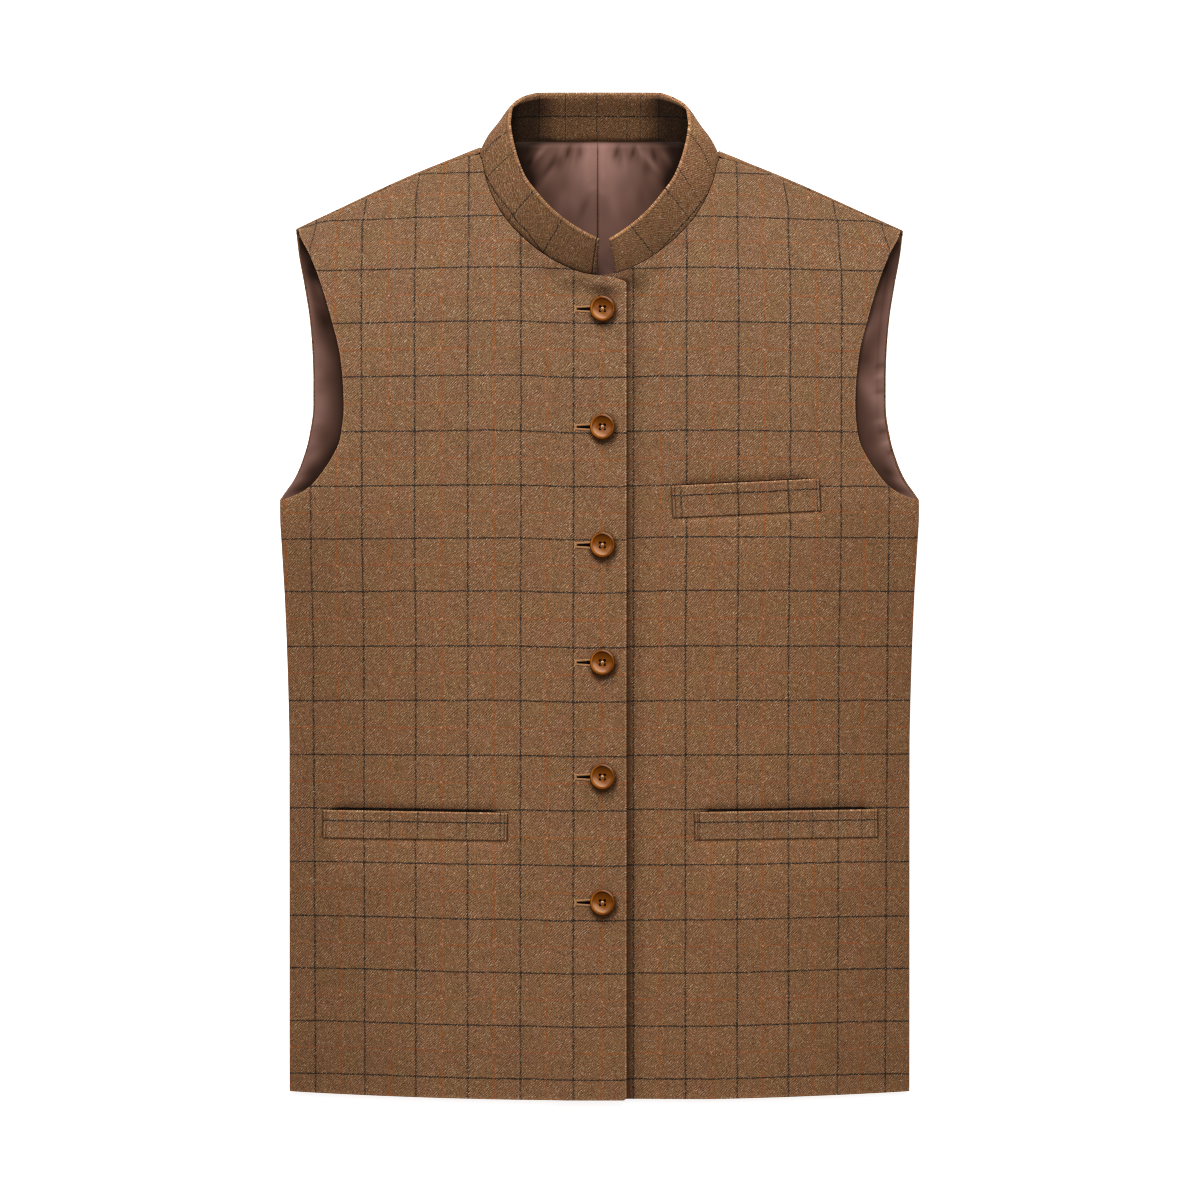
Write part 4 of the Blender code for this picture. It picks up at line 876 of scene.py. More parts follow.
def build_front(side, name):
    step = 2.7
    y0 = float(hem_y(236.0))
    body = spread(UNDERARM - y0, step)[:-4] + y0
    # the armhole by its arc
    ya = np.linspace(UNDERARM, 232.0, 4000)
    arc = np.concatenate([[0], np.cumsum(np.hypot(np.diff(ya), np.diff(outline(ya, "front"))))])
    rise = np.interp(np.linspace(0, arc[-1], int(arc[-1] / 2.6) + 1)[1:], arc, ya)
    body = np.concatenate([body[body < UNDERARM - 0.6], [UNDERARM]])
    tip_y = float(seam_y(229.4, side)) - SHOULDER_GAP / 2
    # the inner boundary: the front edge, a rounded corner, then the neckline back to the shoulder
    radius = 3.2 if side < 0 else 1.5
    corner_t = NECK_T[-1]
    cx, cy = neckline(corner_t, side)
    # the lap's upper corner hangs a little and is well rounded
    sag = lambda across: -1.7 * smooth((across + 4.0) / -16.0) if side < 0 else 0.0 * across
    cy = cy + float(sag(-LAP))
    bottom = float(hem_y(LAP))
    lap = LAP + (LAP_OVER if side < 0 else 0.0)
    rows = [(y, -lap, bottom + (UNDERARM - bottom) * (y - y0) / (UNDERARM - y0)) for y in body]
    if side < 0:
        # its lower corner is rounded too
        rows[0], rows[1] = (rows[0][0], -lap + 2.4, rows[0][2]), (rows[1][0], -lap + 0.35, rows[1][2])
    straight_top = cy - radius
    for y in rise:
        rows.append((y, -lap, UNDERARM + (straight_top - 1.0 - UNDERARM) * (y - UNDERARM) / (232.0 - UNDERARM)))
    around = []
    for a in np.radians([0, 22, 45, 67, 90]):
        around.append((-lap + radius * (1 - math.cos(a)), cy - radius + radius * math.sin(a) + 0.0))
    ts = np.linspace(corner_t - radius - 2.0, 0.0, 56)
    nx, ny = neckline(ts, side)
    ny = ny + sag(nx)
    around += list(zip(nx, ny))
    length = np.concatenate([[0], np.cumsum([math.dist(a, b) for a, b in zip(around, around[1:])])])
    length = (length + 3.0) / (length[-1] + 3.0)
    for (ax, ay), part in zip(around, length):
        rows.append((232.0 + (tip_y - 232.0) * part, ax, ay))
    yo, ix, iy = (np.array([r[k] for r in rows]) for k in range(3))
    up = np.concatenate([np.zeros(len(rows) - len(around)), length])
    xo = outline(yo, "front")
    base = spread(236.0 + LAP, step)
    f_near = base / (236.0 + LAP)
    across = xo - ix
    # keep the close spacing at both edges as the rows get shorter
    e = np.empty((len(rows), len(base)))
    for j in range(len(rows)):
        k = 5
        e[j, :k], e[j, -k:] = base[:k], across[j] - (base[-1] - base[-k:])
        e[j, k - 1 : len(base) - k + 1] = base[k - 1] + (across[j] - 2 * base[k - 1]) * (base[k - 1 : len(base) - k + 1] - base[k - 1]) / (base[-1] - 2 * base[k - 1])
    f = e / across[:, None]
    x = xo[:, None] - e
    y = yo[:, None] + (iy - yo)[:, None] * f
    hem_w = np.clip(1 - (yo - y0) / 260.0, 0, 1) ** 2
    y = y + (hem_y(x) - (y0 + (bottom - y0) * f) + (1.1 * smooth((100.0 - x) / 80.0) if side > 0 else 0.0)) * hem_w[:, None]
    sx = 229.4 + (NECK_POINT - 229.4) * f
    chord = tip_y + (iy[-1] - tip_y) * f
    y = y + (seam_y(sx, side) - SHOULDER_GAP / 2 - chord) * (up**2)[:, None]
    x = side * x
    z = front_z(x, y, side) + front_detail(x, y, side)
    z = np.maximum(z, side_seam_z(y) + GAP / 2)
    u, v = check_uv(x, y, side)
    # distance from the free edges, for the painted edge highlight; the painted shade is left at nought here
    to_edge = np.minimum.reduce([
        np.where(yo[:, None] > UNDERARM, e, 99.0), across[:, None] - e + np.where(ix > (-4.0 if side < 0 else 8.0), 99.0, 0.0)[:, None], y - hem_y(x) + 0.0 * x, np.full_like(x, 99.0),
    ])
    shade = np.zeros_like(x)
    aux = np.stack([np.clip(to_edge, 0, 60), shade], -1)
    tight = np.ones_like(x)
    tight[-52:, -1], tight[-1] = 0.3, 0.12
    obj = shell(name, np.stack([x, y, z], -1), FRONT_WALL, np.stack([u, v], -1), aux, TWEED[side], (0, 0, 1), edge_round=tight)
    return obj


front_left = place(build_front(1, "cloth_front_left"), "front_left", "tweed")
front_right = place(build_front(-1, "cloth_front_right"), "front_right", "tweed")


# ------------------------------------------------------------------ the back
def build_back():
    step = 3.6
    tip = 230.9
    tops = tip - np.concatenate([[0, 0.8, 1.8, 3.0, 4.6, 6.6, 9.0], np.linspace(9.0, tip, int((tip - 9) / step) + 1)[1:]])
    full = float(hem_y(236.0)) + BACK_HEM_SHORT
    ya = np.linspace(UNDERARM, 268.0, 3000)
    arc = np.concatenate([[0], np.cumsum(np.hypot(np.diff(ya), np.diff(outline(ya, "back"))))])
    rise = np.interp(np.linspace(0, arc[-1], int(arc[-1] / 3.4) + 1)[1:], arc, ya)
    body = np.concatenate([spread(UNDERARM - full, step)[:-4] + full, [UNDERARM]])
    halves = []
    for side in (-1, 1):
        start_tip = float(fold_y(tip, side)) - SHOULDER_ROLL
        heights = np.concatenate([body, rise, [start_tip]])
        w_end = back_top_w(tops, side)
        rolled = float(seam_w(tip, side)) - start_tip
        w_strip = w_end - np.where(tops < tip - 12, max(rolled, 14.0), rolled)
        yy = heights[:, None]
        edge = outline(heights, "back")[:, None]
        part = (yy - full) / (start_tip - full)
        x = np.where(tops[None, :] > tip - BACK_EDGE_ROLL, edge - (tip - tops)[None, :], tops[None, :] / (tip - BACK_EDGE_ROLL) * (edge - BACK_EDGE_ROLL))
        low = hem_y(x) + BACK_HEM_SHORT
        w = low + (w_strip[None, :] - low) * part
        curl = (side_seam_z(yy) - GAP / 2) * edge_curve(edge - x, BACK_EDGE_ROLL) * (1 - smooth((yy - 64.0) / 34.0))
        lower = np.stack([side * x, w, curl], -1)
        rows = []
        strip = 14
        for j in range(1, strip + 1):
            ws = w_strip + (w_end - w_strip) * j / strip
            rows.append(back_point(side * np.minimum(tops, tip), ws, side))
        halves.append((np.concatenate([lower, np.array(rows)]), np.concatenate([w, np.array([w_strip + (w_end - w_strip) * j / strip for j in range(1, strip + 1)])])))
    p = np.concatenate([halves[0][0], halves[1][0][:, ::-1][:, 1:]], 1)
    w = np.concatenate([halves[0][1], halves[1][1][:, ::-1][:, 1:]], 1)
    # soft hollows pressed into the underside: the cloth lies on a flat surface, so they only lift
    lift = soft_marks(p[..., 0], p[..., 1], [
        (-120, 230, 60, 14, 24, 0.8), (110, 242, 64, 14, -20, 0.7), (-60, 60, 90, 16, 84, 0.7), (90, 20, 80, 15, 97, 0.6),
        (0, -140, 120, 18, 88, 0.7), (-150, -210, 70, 16, 76, 0.6), (160, -230, 74, 16, 102, 0.7), (30, -320, 60, 14, 12, 0.6), (-20, 300, 50, 12, 3, 0.6),
    ])
    inside = smooth((outline(p[..., 1], "back") - np.abs(p[..., 0]) - 12) / 20) * smooth((330 - p[..., 1]) / 20) * smooth((p[..., 1] + 372) / 20)
    p[..., 2] += np.clip(lift * inside - 0.25, 0, None) * 0.5
    u = p[..., 0] / 39.9 * CHECK_W
    v = w / 41.1 * CHECK_H + 12.0
    aux = np.stack([np.full(u.shape, 30.0), np.zeros(u.shape)], -1)
    # painted shade on the back's upper face inside the armholes
    in_arm = smooth((p[..., 1] - UNDERARM) / 8.0) * smooth((290.0 - p[..., 1]) / 20.0)
    inner_aux = np.stack([np.full(u.shape, 30.0), 0.38 * in_arm], -1)
    cloth_uv = np.stack([u, v], -1)
    tight = np.full_like(u, 0.7)
    tight[-1] = 0.12
    return shell("cloth_back", p, BACK_WALL, cloth_uv, aux, TWEED_BACK, (0, 0, -1), edge_round=tight, inner=(cloth_uv, inner_aux, cloth_uv))


back = place(build_back(), "back", "tweed")


# ------------------------------------------------------------------ the lining
LINING_FOLDS = [
    # x, y, length, width, angle, height: short pleats that fan out from the neck seam, and soft pulls below them
    (-46, 336, 11, 3.0, 45, 0.9), (-36.5, 328, 16, 3.6, 55, -0.8), (-31, 335, 12, 3.0, 62, 0.6), (-24, 337, 8, 2.0, 73, -0.8), (-19, 334, 12, 3.0, 82, 0.6),
    (-13.7, 337.5, 7, 2.0, 94, -0.7), (-7.5, 330, 18, 3.4, 90, 0.6), (4.5, 330, 18, 3.4, 90, 0.7), (13.3, 337, 8, 2.0, 73, -0.8), (19, 333, 12, 3.0, 96, 0.6),
    (25.5, 337.5, 8, 2.0, 75, -0.8), (31.5, 336, 9, 2.6, 108, 0.6), (38.8, 330, 14, 3.0, 129, 0.8), (41.5, 335, 9, 2.4, 106, -0.8), (50, 334, 9, 3.0, 122, 0.5),
    (-52, 331, 8, 2.6, 52, -0.5), (-44, 312, 20, 7.0, 58, 0.5), (-30, 308, 24, 7.0, 66, -0.4), (44, 312, 20, 7.0, 122, 0.4), (30, 306, 22, 7.0, 112, -0.4),
    (-11, 295, 13, 4.0, 67, -0.45), (-3.5, 310, 6, 2.6, 30, 0.35), (3.5, 307, 6, 2.6, 150, 0.3), (12, 296, 16, 5.0, 100, 0.3),
]
# Broad shade and light on the lining inside the neck, in the same form.
NECK_TONES = [
    (-19, 336, 13, 9, 90, 0.60), (-31, 331, 10, 7, 90, 0.44), (-30, 306, 16, 9, 90, -0.28), (-19, 301, 14, 7, 90, -0.15), (-8, 337, 7, 6, 90, 0.14),
    (-8, 318, 10, 6, 90, -0.14), (16, 336, 12, 8, 90, 0.64), (27.5, 335, 9, 7, 90, 0.30), (35.5, 327, 10, 6, 90, 0.38), (27, 311, 14, 8, 90, -0.31),
    (35, 303, 12, 6, 90, -0.12), (3, 258, 9, 12, 90, -0.12),
]
# The inner edge of the collar as the camera sees it.
NECK_VIEW = columns("y x", (240.0, 2.0), (262.0, 3.0), (270.0, 5.0), (284.6, 22.4), (295.3, 36.0), (314.3, 52.8), (328.7, 60.4), (341.6, 64.6), (357.0, 67.6))
ARM_RIGHT = [
    (212, 250, 9, 12, 70, -0.8), (213, 232, 10, 8, 60, 0.9), (210, 208, 10, 9, 66, -0.8), (212, 186, 12, 8, 72, 1.0), (208, 164, 10, 9, 80, -0.7),
    (211, 142, 12, 8, 96, 1.0), (210, 121, 11, 7, 110, -0.8), (216, 106, 10, 6, 128, 0.9), (221, 94, 10, 5, 140, -0.7), (228, 87, 9, 4, 146, 0.7),
    (215, 176, 7, 3, 20, -0.5), (214, 168, 7, 3, 24, 0.6), (214, 156, 8, 3, 14, -0.5), (215, 133, 8, 3, 12, 0.6), (217, 126, 7, 3, 16, -0.6), (219, 117, 7, 3, 20, 0.7),
    (222, 110, 6, 3, 26, -0.6), (216, 222, 8, 4, 40, 0.6), (218, 243, 8, 4, 36, -0.5), (220, 258, 8, 4, 60, 0.4),
]
ARM_LEFT = [
    (213, 250, 9, 10, 70, -0.4), (204, 201, 15, 9, 58, 1.0), (205, 180, 10, 7, 0, -0.35), (204, 158, 15, 9, 119, 1.05), (209, 134, 10, 7, 100, -0.15),
    (211, 226, 10, 8, 64, 0.35), (212, 213, 9, 7, 62, 0.45), (211, 149, 9, 8, 120, 0.65), (209, 119, 9, 7, 110, -0.40), (215, 104, 9, 6, 128, -0.30),
    (221, 94, 10, 5, 140, -0.6), (228, 87, 9, 4, 146, 0.6),
]
PUCKERS = ARM_RIGHT[10:17]
ARM_FOLDS = {-1: ARM_RIGHT, 1: ARM_LEFT + PUCKERS}


def build_lining(side, name):
    tip = 272.0
    bottom = float(hem_y(236.0)) + BACK_HEM_SHORT + LINING_HEM
    heights = np.concatenate([np.linspace(bottom, 60, 50)[:-1], np.linspace(60, 240, 90)[:-1], np.linspace(240, tip, 20)])
    tops = np.concatenate([np.linspace(230, 190, 22)[:-1], np.linspace(190, 96, 20)[:-1], np.linspace(96, 0, 64)])
    part = ((heights - bottom) / (tip - bottom))[:, None]
    # rows crowd towards the top so that the neck is fine
    inset = LINING_RIM - 0.9 + 8.9 * (1 - smooth((heights - 62.0) / 15.0))
    edge = (outline(heights, "back") - inset)[:, None]
    x = np.maximum(GAP / 2 * 0.4, tops[None, :] / 230.0 * edge)
    low = hem_y(x) + BACK_HEM_SHORT + LINING_HEM
    high = read(LINING_TOP, "x", "y", tops) + neck_y_shift(330.0, side) * smooth((tops - 66.0) / 20.0) + 1.5 * smooth((70.0 - tops) / 8.0)
    y = low + (high[None, :] - low) * part
    sx = side * x
    turn = edge_curve(outline(y, "back") - x, BACK_EDGE_ROLL) * (1 - smooth((y - 64.0) / 34.0))
    z = BACK_WALL + GAP + LINING_WALL + (side_seam_z(y) - GAP / 2) * turn
    neck = smooth((72.0 - x) / 12.0) * smooth((y - 232.0) / 20.0) * smooth((345.0 - y) / 2.5)
    z = z + (0.8 + np.clip(1.4 * soft_marks(sx, y, LINING_FOLDS), -1.0, 2.0)) * neck
    # the centre seam: a shallow valley with a soft swell on each side, plain where the fronts close over it
    seam = smooth((y - 246.0) / 26.0) * smooth((344.0 - y) / 6.0)
    z = z + (0.45 * np.exp(-(((x - 3.2) / 2.6) ** 2)) - 0.25 * np.exp(-((x / 0.7) ** 2))) * seam
    arm = smooth((x - 178.0) / 14.0) * smooth((y - 78.0) / 10.0) * smooth((edge - x - 0.0) / 5.0)
    z = z + np.clip(soft_marks(x, y, ARM_FOLDS[side]) + 0.5, -0.3, 1.7) * arm
    # a stitched line round the armhole edge
    z = z - 0.35 * np.exp(-(((edge - x - 3.6) / 0.9) ** 2)) * smooth((y - 84.0) / 10.0)
    z = np.maximum(z, BACK_WALL + GAP + LINING_WALL - 0.25)
    # painted shade on the neck's lining: its upper middle is in the light, and it darkens downwards and under the
    # collar on both sides
    middle = 0.29 - 0.75 * smooth((y - 286.0) / 52.0)
    sides = 0.58 * smooth((x - 5.0) / 30.0) + 0.62 * smooth((x - 30.0) / 28.0)
    shade = middle + sides * (0.30 + 0.70 * smooth((y - 290.0) / 26.0)) + 0.03 * smooth((266.0 - y) / 10.0)
    shade = shade * smooth((y - 226.0) / 10.0) * smooth((96.0 - x) / 8.0)
    shade = shade + 0.16 * smooth((x - 40.0) / 22.0) * smooth((y - 296.0) / 34.0) + 0.10 * smooth((y - 330.0) / 12.0)
    # painted shade and light in broad patches, and painted shade in the folds' troughs with painted light on their
    # ridges
    shade = shade + soft_marks(sx, y, NECK_TONES) - 0.52 * soft_marks(sx, y, LINING_FOLDS) * neck
    shade = shade + 0.16 * np.exp(-((x / 0.7) ** 2)) * seam
    # a dark line of shade where it runs under the collar's foot
    shade = np.where(y > 344.0, shade + 1.2 * smooth((y - 344.0) / 1.2), shade)
    # shade inside the armholes: deep beside the front's edge and at the top
    wide = np.maximum(outline(y, "back") - LINING_RIM - outline(y, "front"), 3.0)
    out = np.clip((x - outline(y, "front")) / wide, 0.0, 1.0)
    up, low = smooth((y - 176.0) / 26.0), smooth((108.0 - y) / 14.0)
    base = 0.79 + 0.12 * smooth((y - 226.0) / 26.0) + 0.05 * smooth((y - 250.0) / 16.0) + 0.08 * smooth((100.0 - y) / 12.0)
    fall = 0.84 - 0.18 * up - 0.36 * smooth((y - 228.0) / 20.0) - 0.20 * smooth((y - 248.0) / 18.0)
    power = 1.35 + 1.4 * up + 0.9 * low
    if side < 0:
        # the wearer's right armhole is dark right up to its edge at the top, and again low down
        upper = np.exp(-(((y - 226.0) / 13.0) ** 2))
        power, fall, base = power + 3.2 * upper, fall + 0.08 * upper, base + 0.11 * np.exp(-(((y - 108.0) / 12.0) ** 2)) + 0.05 * np.exp(-(((y - 165.0) / 24.0) ** 2))
    # painted shade and light following the folds and puckers of the armholes
    deep = (base - fall * out**power) * (1.0 if side < 0 else 0.86) - (0.16 if side < 0 else 0.38) * soft_marks(x, y, ARM_FOLDS[side])
    if side > 0:
        deep = deep - 0.34 * soft_marks(x, y, PUCKERS)
        deep = deep + 0.13 * np.exp(-(((edge - x - 5.0) / 0.8) ** 2)) * smooth((y - 112.0) / 14.0) * smooth((252.0 - y) / 12.0)
    shade = np.where(x > 150.0, deep * smooth((y - 74.0) / 8.0), shade)
    aux = np.stack([np.full(x.shape, 30.0), np.clip(shade, -0.45, 0.93)], -1)
    sx = sx - 1.3 * (1 - smooth(x / 30.0)) * smooth((y - 200.0) / 20.0)
    return shell(name, np.stack([sx, y, z], -1), LINING_WALL, np.stack([sx, y], -1), aux, SATIN, (0, 0, 1), edge_round=0.4)


lining_right = place(build_lining(-1, "satin_lining_right"), "back_lining_right", "satin_lining")
lining_left = place(build_lining(1, "satin_lining_left"), "back_lining_left", "satin_lining")


# ------------------------------------------------------------------ the collar band
def roll_normal(x, w, side):
    r = SHOULDER_ROLL
    a = np.clip(w - (fold_y(x, side) - r), 0.0, math.pi * r) / r
    lean = (fold_y(np.abs(x) + 0.5, side) - fold_y(np.abs(x) - 0.5, side)) * np.where(np.asarray(x) > 0, 1, -1)
    return unit(np.stack([-lean * np.sin(a), np.sin(a), -np.cos(a)], -1))


def front_normal(x, y, side):
    h = 0.4
    return unit(np.stack([front_z(x - h, y, side) - front_z(x + h, y, side), front_z(x, y - h, side) - front_z(x, y + h, side), np.full_like(x, 2 * h)], -1))


def collar_half(side, levels):
    xb = np.concatenate([np.linspace(0, 60, 26)[:-1], np.linspace(60, 84, 14)[:-1], np.linspace(84, NECK_POINT, 12)])
    wb = back_top_w(xb, side)
    wb[-1] = read(BACK_NECK, "x", "w", NECK_POINT) - (2.8 if side > 0 else 0.0)
    wb = np.minimum(wb, wb[-1])
    points, facing = back_point(side * xb, wb, side), roll_normal(side * xb, wb, side)
    fine = np.arange(100.0, 150.0, 0.25)
    end = float(np.interp(-COLLAR_END[side], -neckline(fine, side)[0], fine))
    ts = np.linspace(0, end, int(end / 1.9) + 1)[1:]
    nx, ny = neckline(ts, side)
    fx = side * nx
    points = np.concatenate([points, np.stack([fx, ny, front_z(fx, ny, side)], -1)])
    facing = np.concatenate([facing, front_normal(fx, ny, side)])
    s = np.concatenate([[0], np.cumsum(np.linalg.norm(np.diff(points, axis=0), axis=1))])
    along = np.gradient(points, axis=0)
    along[0] = (side, 0, 0)
    # the seam turns sharply where it passes over the shoulder, and a stiff band takes that turn gently
    for _ in range(14):
        along[1:-1] = (along[:-2] + 2 * along[1:-1] + along[2:]) / 4
        facing[1:-1] = (facing[:-2] + 2 * facing[1:-1] + facing[2:]) / 4
    along, facing = unit(along), unit(facing)
    total = s[-1]
    end_at = np.interp(-COLLAR_TOP_END[side], -COLLAR["top_x"][5:], COLLAR["foot"][5:])
    at = np.where(s > 130.0, 130.0 + (end_at - 130.0) * (s - 130.0) / (total - 130.0), s)
    top = np.stack([side * read(COLLAR, "foot", "top_x", at), read(COLLAR, "foot", "top_y", at), read(COLLAR, "foot", "top_z", at)], -1)
    top[:, 1] += neck_y_shift(top[:, 1] - 20.0, side) * 0.5 * smooth((s - 44.0) / 20.0)
    if side > 0:
        top[:, 1] -= 3.6 * np.clip((s - 128.0) / 92.0, 0.0, 1.0) ** 1.2
    middle = (points + top) / 2
    lift = smooth((s - 100.0) / 30.0)[:, None]
    out = np.array([side * 0.83, 0.56, 0.0]) * (1 - lift) + np.array([side * 0.45, -0.35, 0.82]) * lift
    middle = middle + out * read(COLLAR, "foot", "swell", at)[:, None]
    middle[:, 2] -= 0.24 * (top[:, 2] - points[:, 2]) * (1 - smooth((s - 76.0) / 22.0))
    away = middle - points
    away = away - along * (away * along).sum(-1, keepdims=True) - facing * (away * facing).sum(-1, keepdims=True)
    in_fold = np.hypot(facing[:, 0], facing[:, 1]) * (1 - smooth((s - 100.0) / 10.0))
    foot = points + unit(away) * (0.10 + 0.35 * COLLAR_FOLD_EASE * in_fold)[:, None]
    v = np.asarray(levels)[:, None, None]
    grid = foot * (1 - v) * (1 - 2 * v) + middle * 4 * v * (1 - v) + top * v * (2 * v - 1)
    return grid, s, at


# Check lines on the collar: the places along the band, from the middle of the back, where cross lines meet the foot and
# the top edge; how far the line along the band bows away from the foot; and the lines on the inner face by x.
COLLAR_LINES = {
    -1: columns("foot top k", (-10, -10, -0.5), (62, 60, 0), (102.3, 99.0, 1), (117.6, 115.7, 2), (154.4, 148.4, 3), (191.0, 188.8, 4), (240, 240, 5.2)),
    1: columns("foot top k", (-10, -10, -0.5), (64, 60, 0), (113.6, 99.5, 1), (137.5, 127.5, 2), (152.5, 146.2, 3), (190.3, 196.1, 4), (236, 238, 5.1)),
}
COLLAR_BOW = {
    -1: columns("s h", (0, -3), (108, -2), (117.6, 0.6), (133, 4.5), (148, 7.0), (168, 6.6), (187, 1.8), (198, -2), (240, -4)),
    1: columns("s h", (0, -3), (122, -2), (134, 1.8), (155, 4.0), (177, 2.4), (190, -1), (240, -4)),
}
COLLAR_INSIDE = columns("x k", (-75, -2.8), (-46, -2), (-26, -1), (-2, 0), (21, 1), (31, 2), (45, 3), (75, 4.3))


def build_collar():
    levels = np.concatenate([[0, 0.035, 0.07, 0.115], np.linspace(0.16, 0.86, 17), [0.90, 0.935, 0.965, 1.0]])
    halves = {side: collar_half(side, levels) for side in (-1, 1)}
    grid = np.concatenate([halves[-1][0][:, ::-1], halves[1][0][:, 1:]], 1)
    band = np.linalg.norm(np.diff(grid, axis=0), axis=2)
    height = np.concatenate([np.zeros((1, grid.shape[1])), np.cumsum(band, 0)])
    s = np.concatenate([-halves[-1][1][::-1], halves[1][1][1:]])
    # the outer face: cross lines at given places along the foot and the top edge, one line near the foot
    count = len(halves[-1][1])
    u = np.empty_like(height)
    for side, part in ((-1, slice(0, count)), (1, slice(count - 1, None))):
        line = COLLAR_LINES[side]
        for j, level in enumerate(levels):
            at = line["foot"] * (1 - level) + line["top"] * level
            u[j, part] = read({"s": at, "k": line["k"]}, "s", "k", np.abs(s[part])) * CHECK_W * side
    bow = np.where(s < 0, read(COLLAR_BOW[-1], "s", "h", np.abs(s)), read(COLLAR_BOW[1], "s", "h", np.abs(s)))
    v = height - bow[None, :]
    # the inner face shows at the back of the neck
    inner_u = read(COLLAR_INSIDE, "x", "k", np.clip(grid[..., 0], -70, 70)) * CHECK_W
    inner_v = height - 20.0
    wall = np.interp(levels, [0, 0.2, 1.0], [COLLAR_FOOT_WALL, COLLAR_WALL, COLLAR_WALL])[:, None] * np.ones((1, grid.shape[1]))
    to_top = height[-1][None, :] - height
    to_end = np.minimum(s[-1] - s, s - s[0])[None, :] + 0 * to_top
    # painted shade towards the band's two ends, where it turns away from the light, low down most of all
    turned = 0.15 * smooth((-s - 130.0) / 60.0) * (1 - 0.5 * height / np.maximum(height[-1], 1e-6))
    # painted light on the right half of the band, and more near its end
    lit = 0.18 * smooth((s - 30.0) / 40.0) * (1 - 0.66 * smooth((s - 120.0) / 40.0)) + 0.26 * smooth((s - 178.0) / 30.0)
    turned = turned - lit * (0.7 + 0.5 * height / np.maximum(height[-1], 1e-6))
    # and painted shade deep along the foot of the left half
    foot = 0.38 * np.exp(-((height / 2.6) ** 2)) * smooth((-s - 90.0) / 80.0) + 0.12 * np.exp(-((height / 6.0) ** 2)) * smooth((-s - 150.0) / 40.0)
    # painted shade along the whole foot as well
    aux = np.stack([np.clip(to_top, 0, 60), 0.08 * np.exp(-((height / 1.6) ** 2)) + turned + foot], -1)
    # painted shade on the inner face: darker towards the sides and along the foot, paler high in the middle, none on
    # the top roll, and an even shade beyond the back of the neck
    across = np.abs(grid[..., 0])
    inner_shade = 0.505 + 0.09 * smooth((height - 18.0) / 5.0) + 0.41 * smooth((across - 25.0) / 28.0) - 0.14 * smooth((height - 27.0) / 8.0) * smooth((50 - across) / 20)
    inner_shade = inner_shade + 0.34 * np.exp(-(((height - 1.5) / 1.8) ** 2))
    inner_shade = np.where(np.abs(s)[None, :] > 80, 0.45, inner_shade) * smooth((to_top - 3.2) / 1.6)
    inner = (np.stack([grid[..., 0], height], -1), np.stack([np.clip(to_top, 0, 60), np.clip(inner_shade, 0, 0.92)], -1), np.stack([inner_u, inner_v], -1))
    spot = np.stack([to_top, to_end], -1)
    cloth_uv = np.stack([s[None, :] + 0 * height, height], -1)
    tight = np.full_like(height, 1.2)
    tight[0] = 0.3
    return shell("cloth_collar", grid, wall, cloth_uv, aux, TWEED_COLLAR, (0, 0, -1), edge_round=tight, inner=inner, spot=spot, check=np.stack([u, v], -1))


collar = place(build_collar(), "collar", "tweed_collar")


# ------------------------------------------------------------------ the welts
WELT_CHECK = {
    # place along the welt from its middle, and the number of the dark line there; then the line along it
    "chest_welt": (columns("a k", (-70.0, 0.5), (-49.2, 1), (-6.1, 2), (32.5, 3), (70.0, 4)), 4.3),
    "lower_welt_right": (columns("a k", (-77.0, 0.0), (-39.0, 1), (-19.3, 2), (1.9, 3), (39.0, 4), (64.6, 5), (90.0, 6)), 2.6),
    "lower_welt_left": (columns("a k", (-86.0, 0.2), (-65.7, 1), (-36.6, 2), (-17.6, 3), (1.7, 4), (20.3, 5), (39.8, 6), (57.4, 7), (75.0, 8)), 2.6),
}


def build_welt(name, w):
    table, line = WELT_CHECK[name]
    c, s = math.cos(math.radians(w["tilt"])), math.sin(math.radians(w["tilt"]))
    a = spread(w["length"], 1.6) - w["length"] / 2
    b = spread(w["height"], 1.5) - w["height"] / 2
    aa, bb = np.meshgrid(a, b)
    x = w["x"] + aa * c - bb * s
    y = w["y"] + aa * s + bb * c
    z = front_z(x, y, w["side"]) + GAP + WELT_WALL
    # the upper edge lifts a little along the pocket's mouth
    z = z + 0.9 * smooth((bb + 2.0) / (w["height"] / 2)) * (1 - (aa / (w["length"] / 2)) ** 2)
    end = w["length"] / 2 - np.abs(aa)
    z = z + 0.25 * np.exp(-(((end - 1.0) / 0.9) ** 2)) - 0.40 * np.exp(-(((end - 2.7) / 0.7) ** 2))
    z = z + soft_marks(aa, bb, [(-30, 0, 14, 5, 70, 0.18), (12, 1, 16, 5, 110, -0.15), (38, -2, 12, 5, 80, 0.18)])
    u = read(table, "a", "k", aa) * CHECK_W
    v = (bb - line) / 41.0 * CHECK_H
    to_edge = np.where(bb > 0, w["height"] / 2 - bb, 99.0)
    aux = np.stack([np.clip(to_edge, 0, 60), 0 * bb], -1)
    spot = np.stack([end, w["height"] / 2 - bb], -1)
    return shell("cloth_" + name, np.stack([x, y, z], -1), WELT_WALL, np.stack([aa, bb], -1), aux, TWEED_WELT, (0, 0, 1), edge_round=0.75, spot=spot, check=np.stack([u, v], -1))


welts = {name: place(build_welt(name, w), name, "tweed") for name, w in WELTS.items()}


# ------------------------------------------------------------------ buttons
def lathe(profile, sides):
    rings, points = [], []
    for r, z in profile:
        if r == 0:
            rings.append([len(points)])
            points.append((0, 0, z))
        else:
            rings.append(list(range(len(points), len(points) + sides)))
            points += [(r * math.cos(2 * math.pi * k / sides), r * math.sin(2 * math.pi * k / sides), z) for k in range(sides)]
    faces = []
    for a, b in zip(rings, rings[1:]):
        for k in range(sides):
            n = (k + 1) % sides
            ring = [a[k % len(a)], a[n % len(a)], b[n % len(b)], b[k % len(b)]]
            faces.append([v for i, v in enumerate(ring) if v not in ring[:i]])
    return points, faces


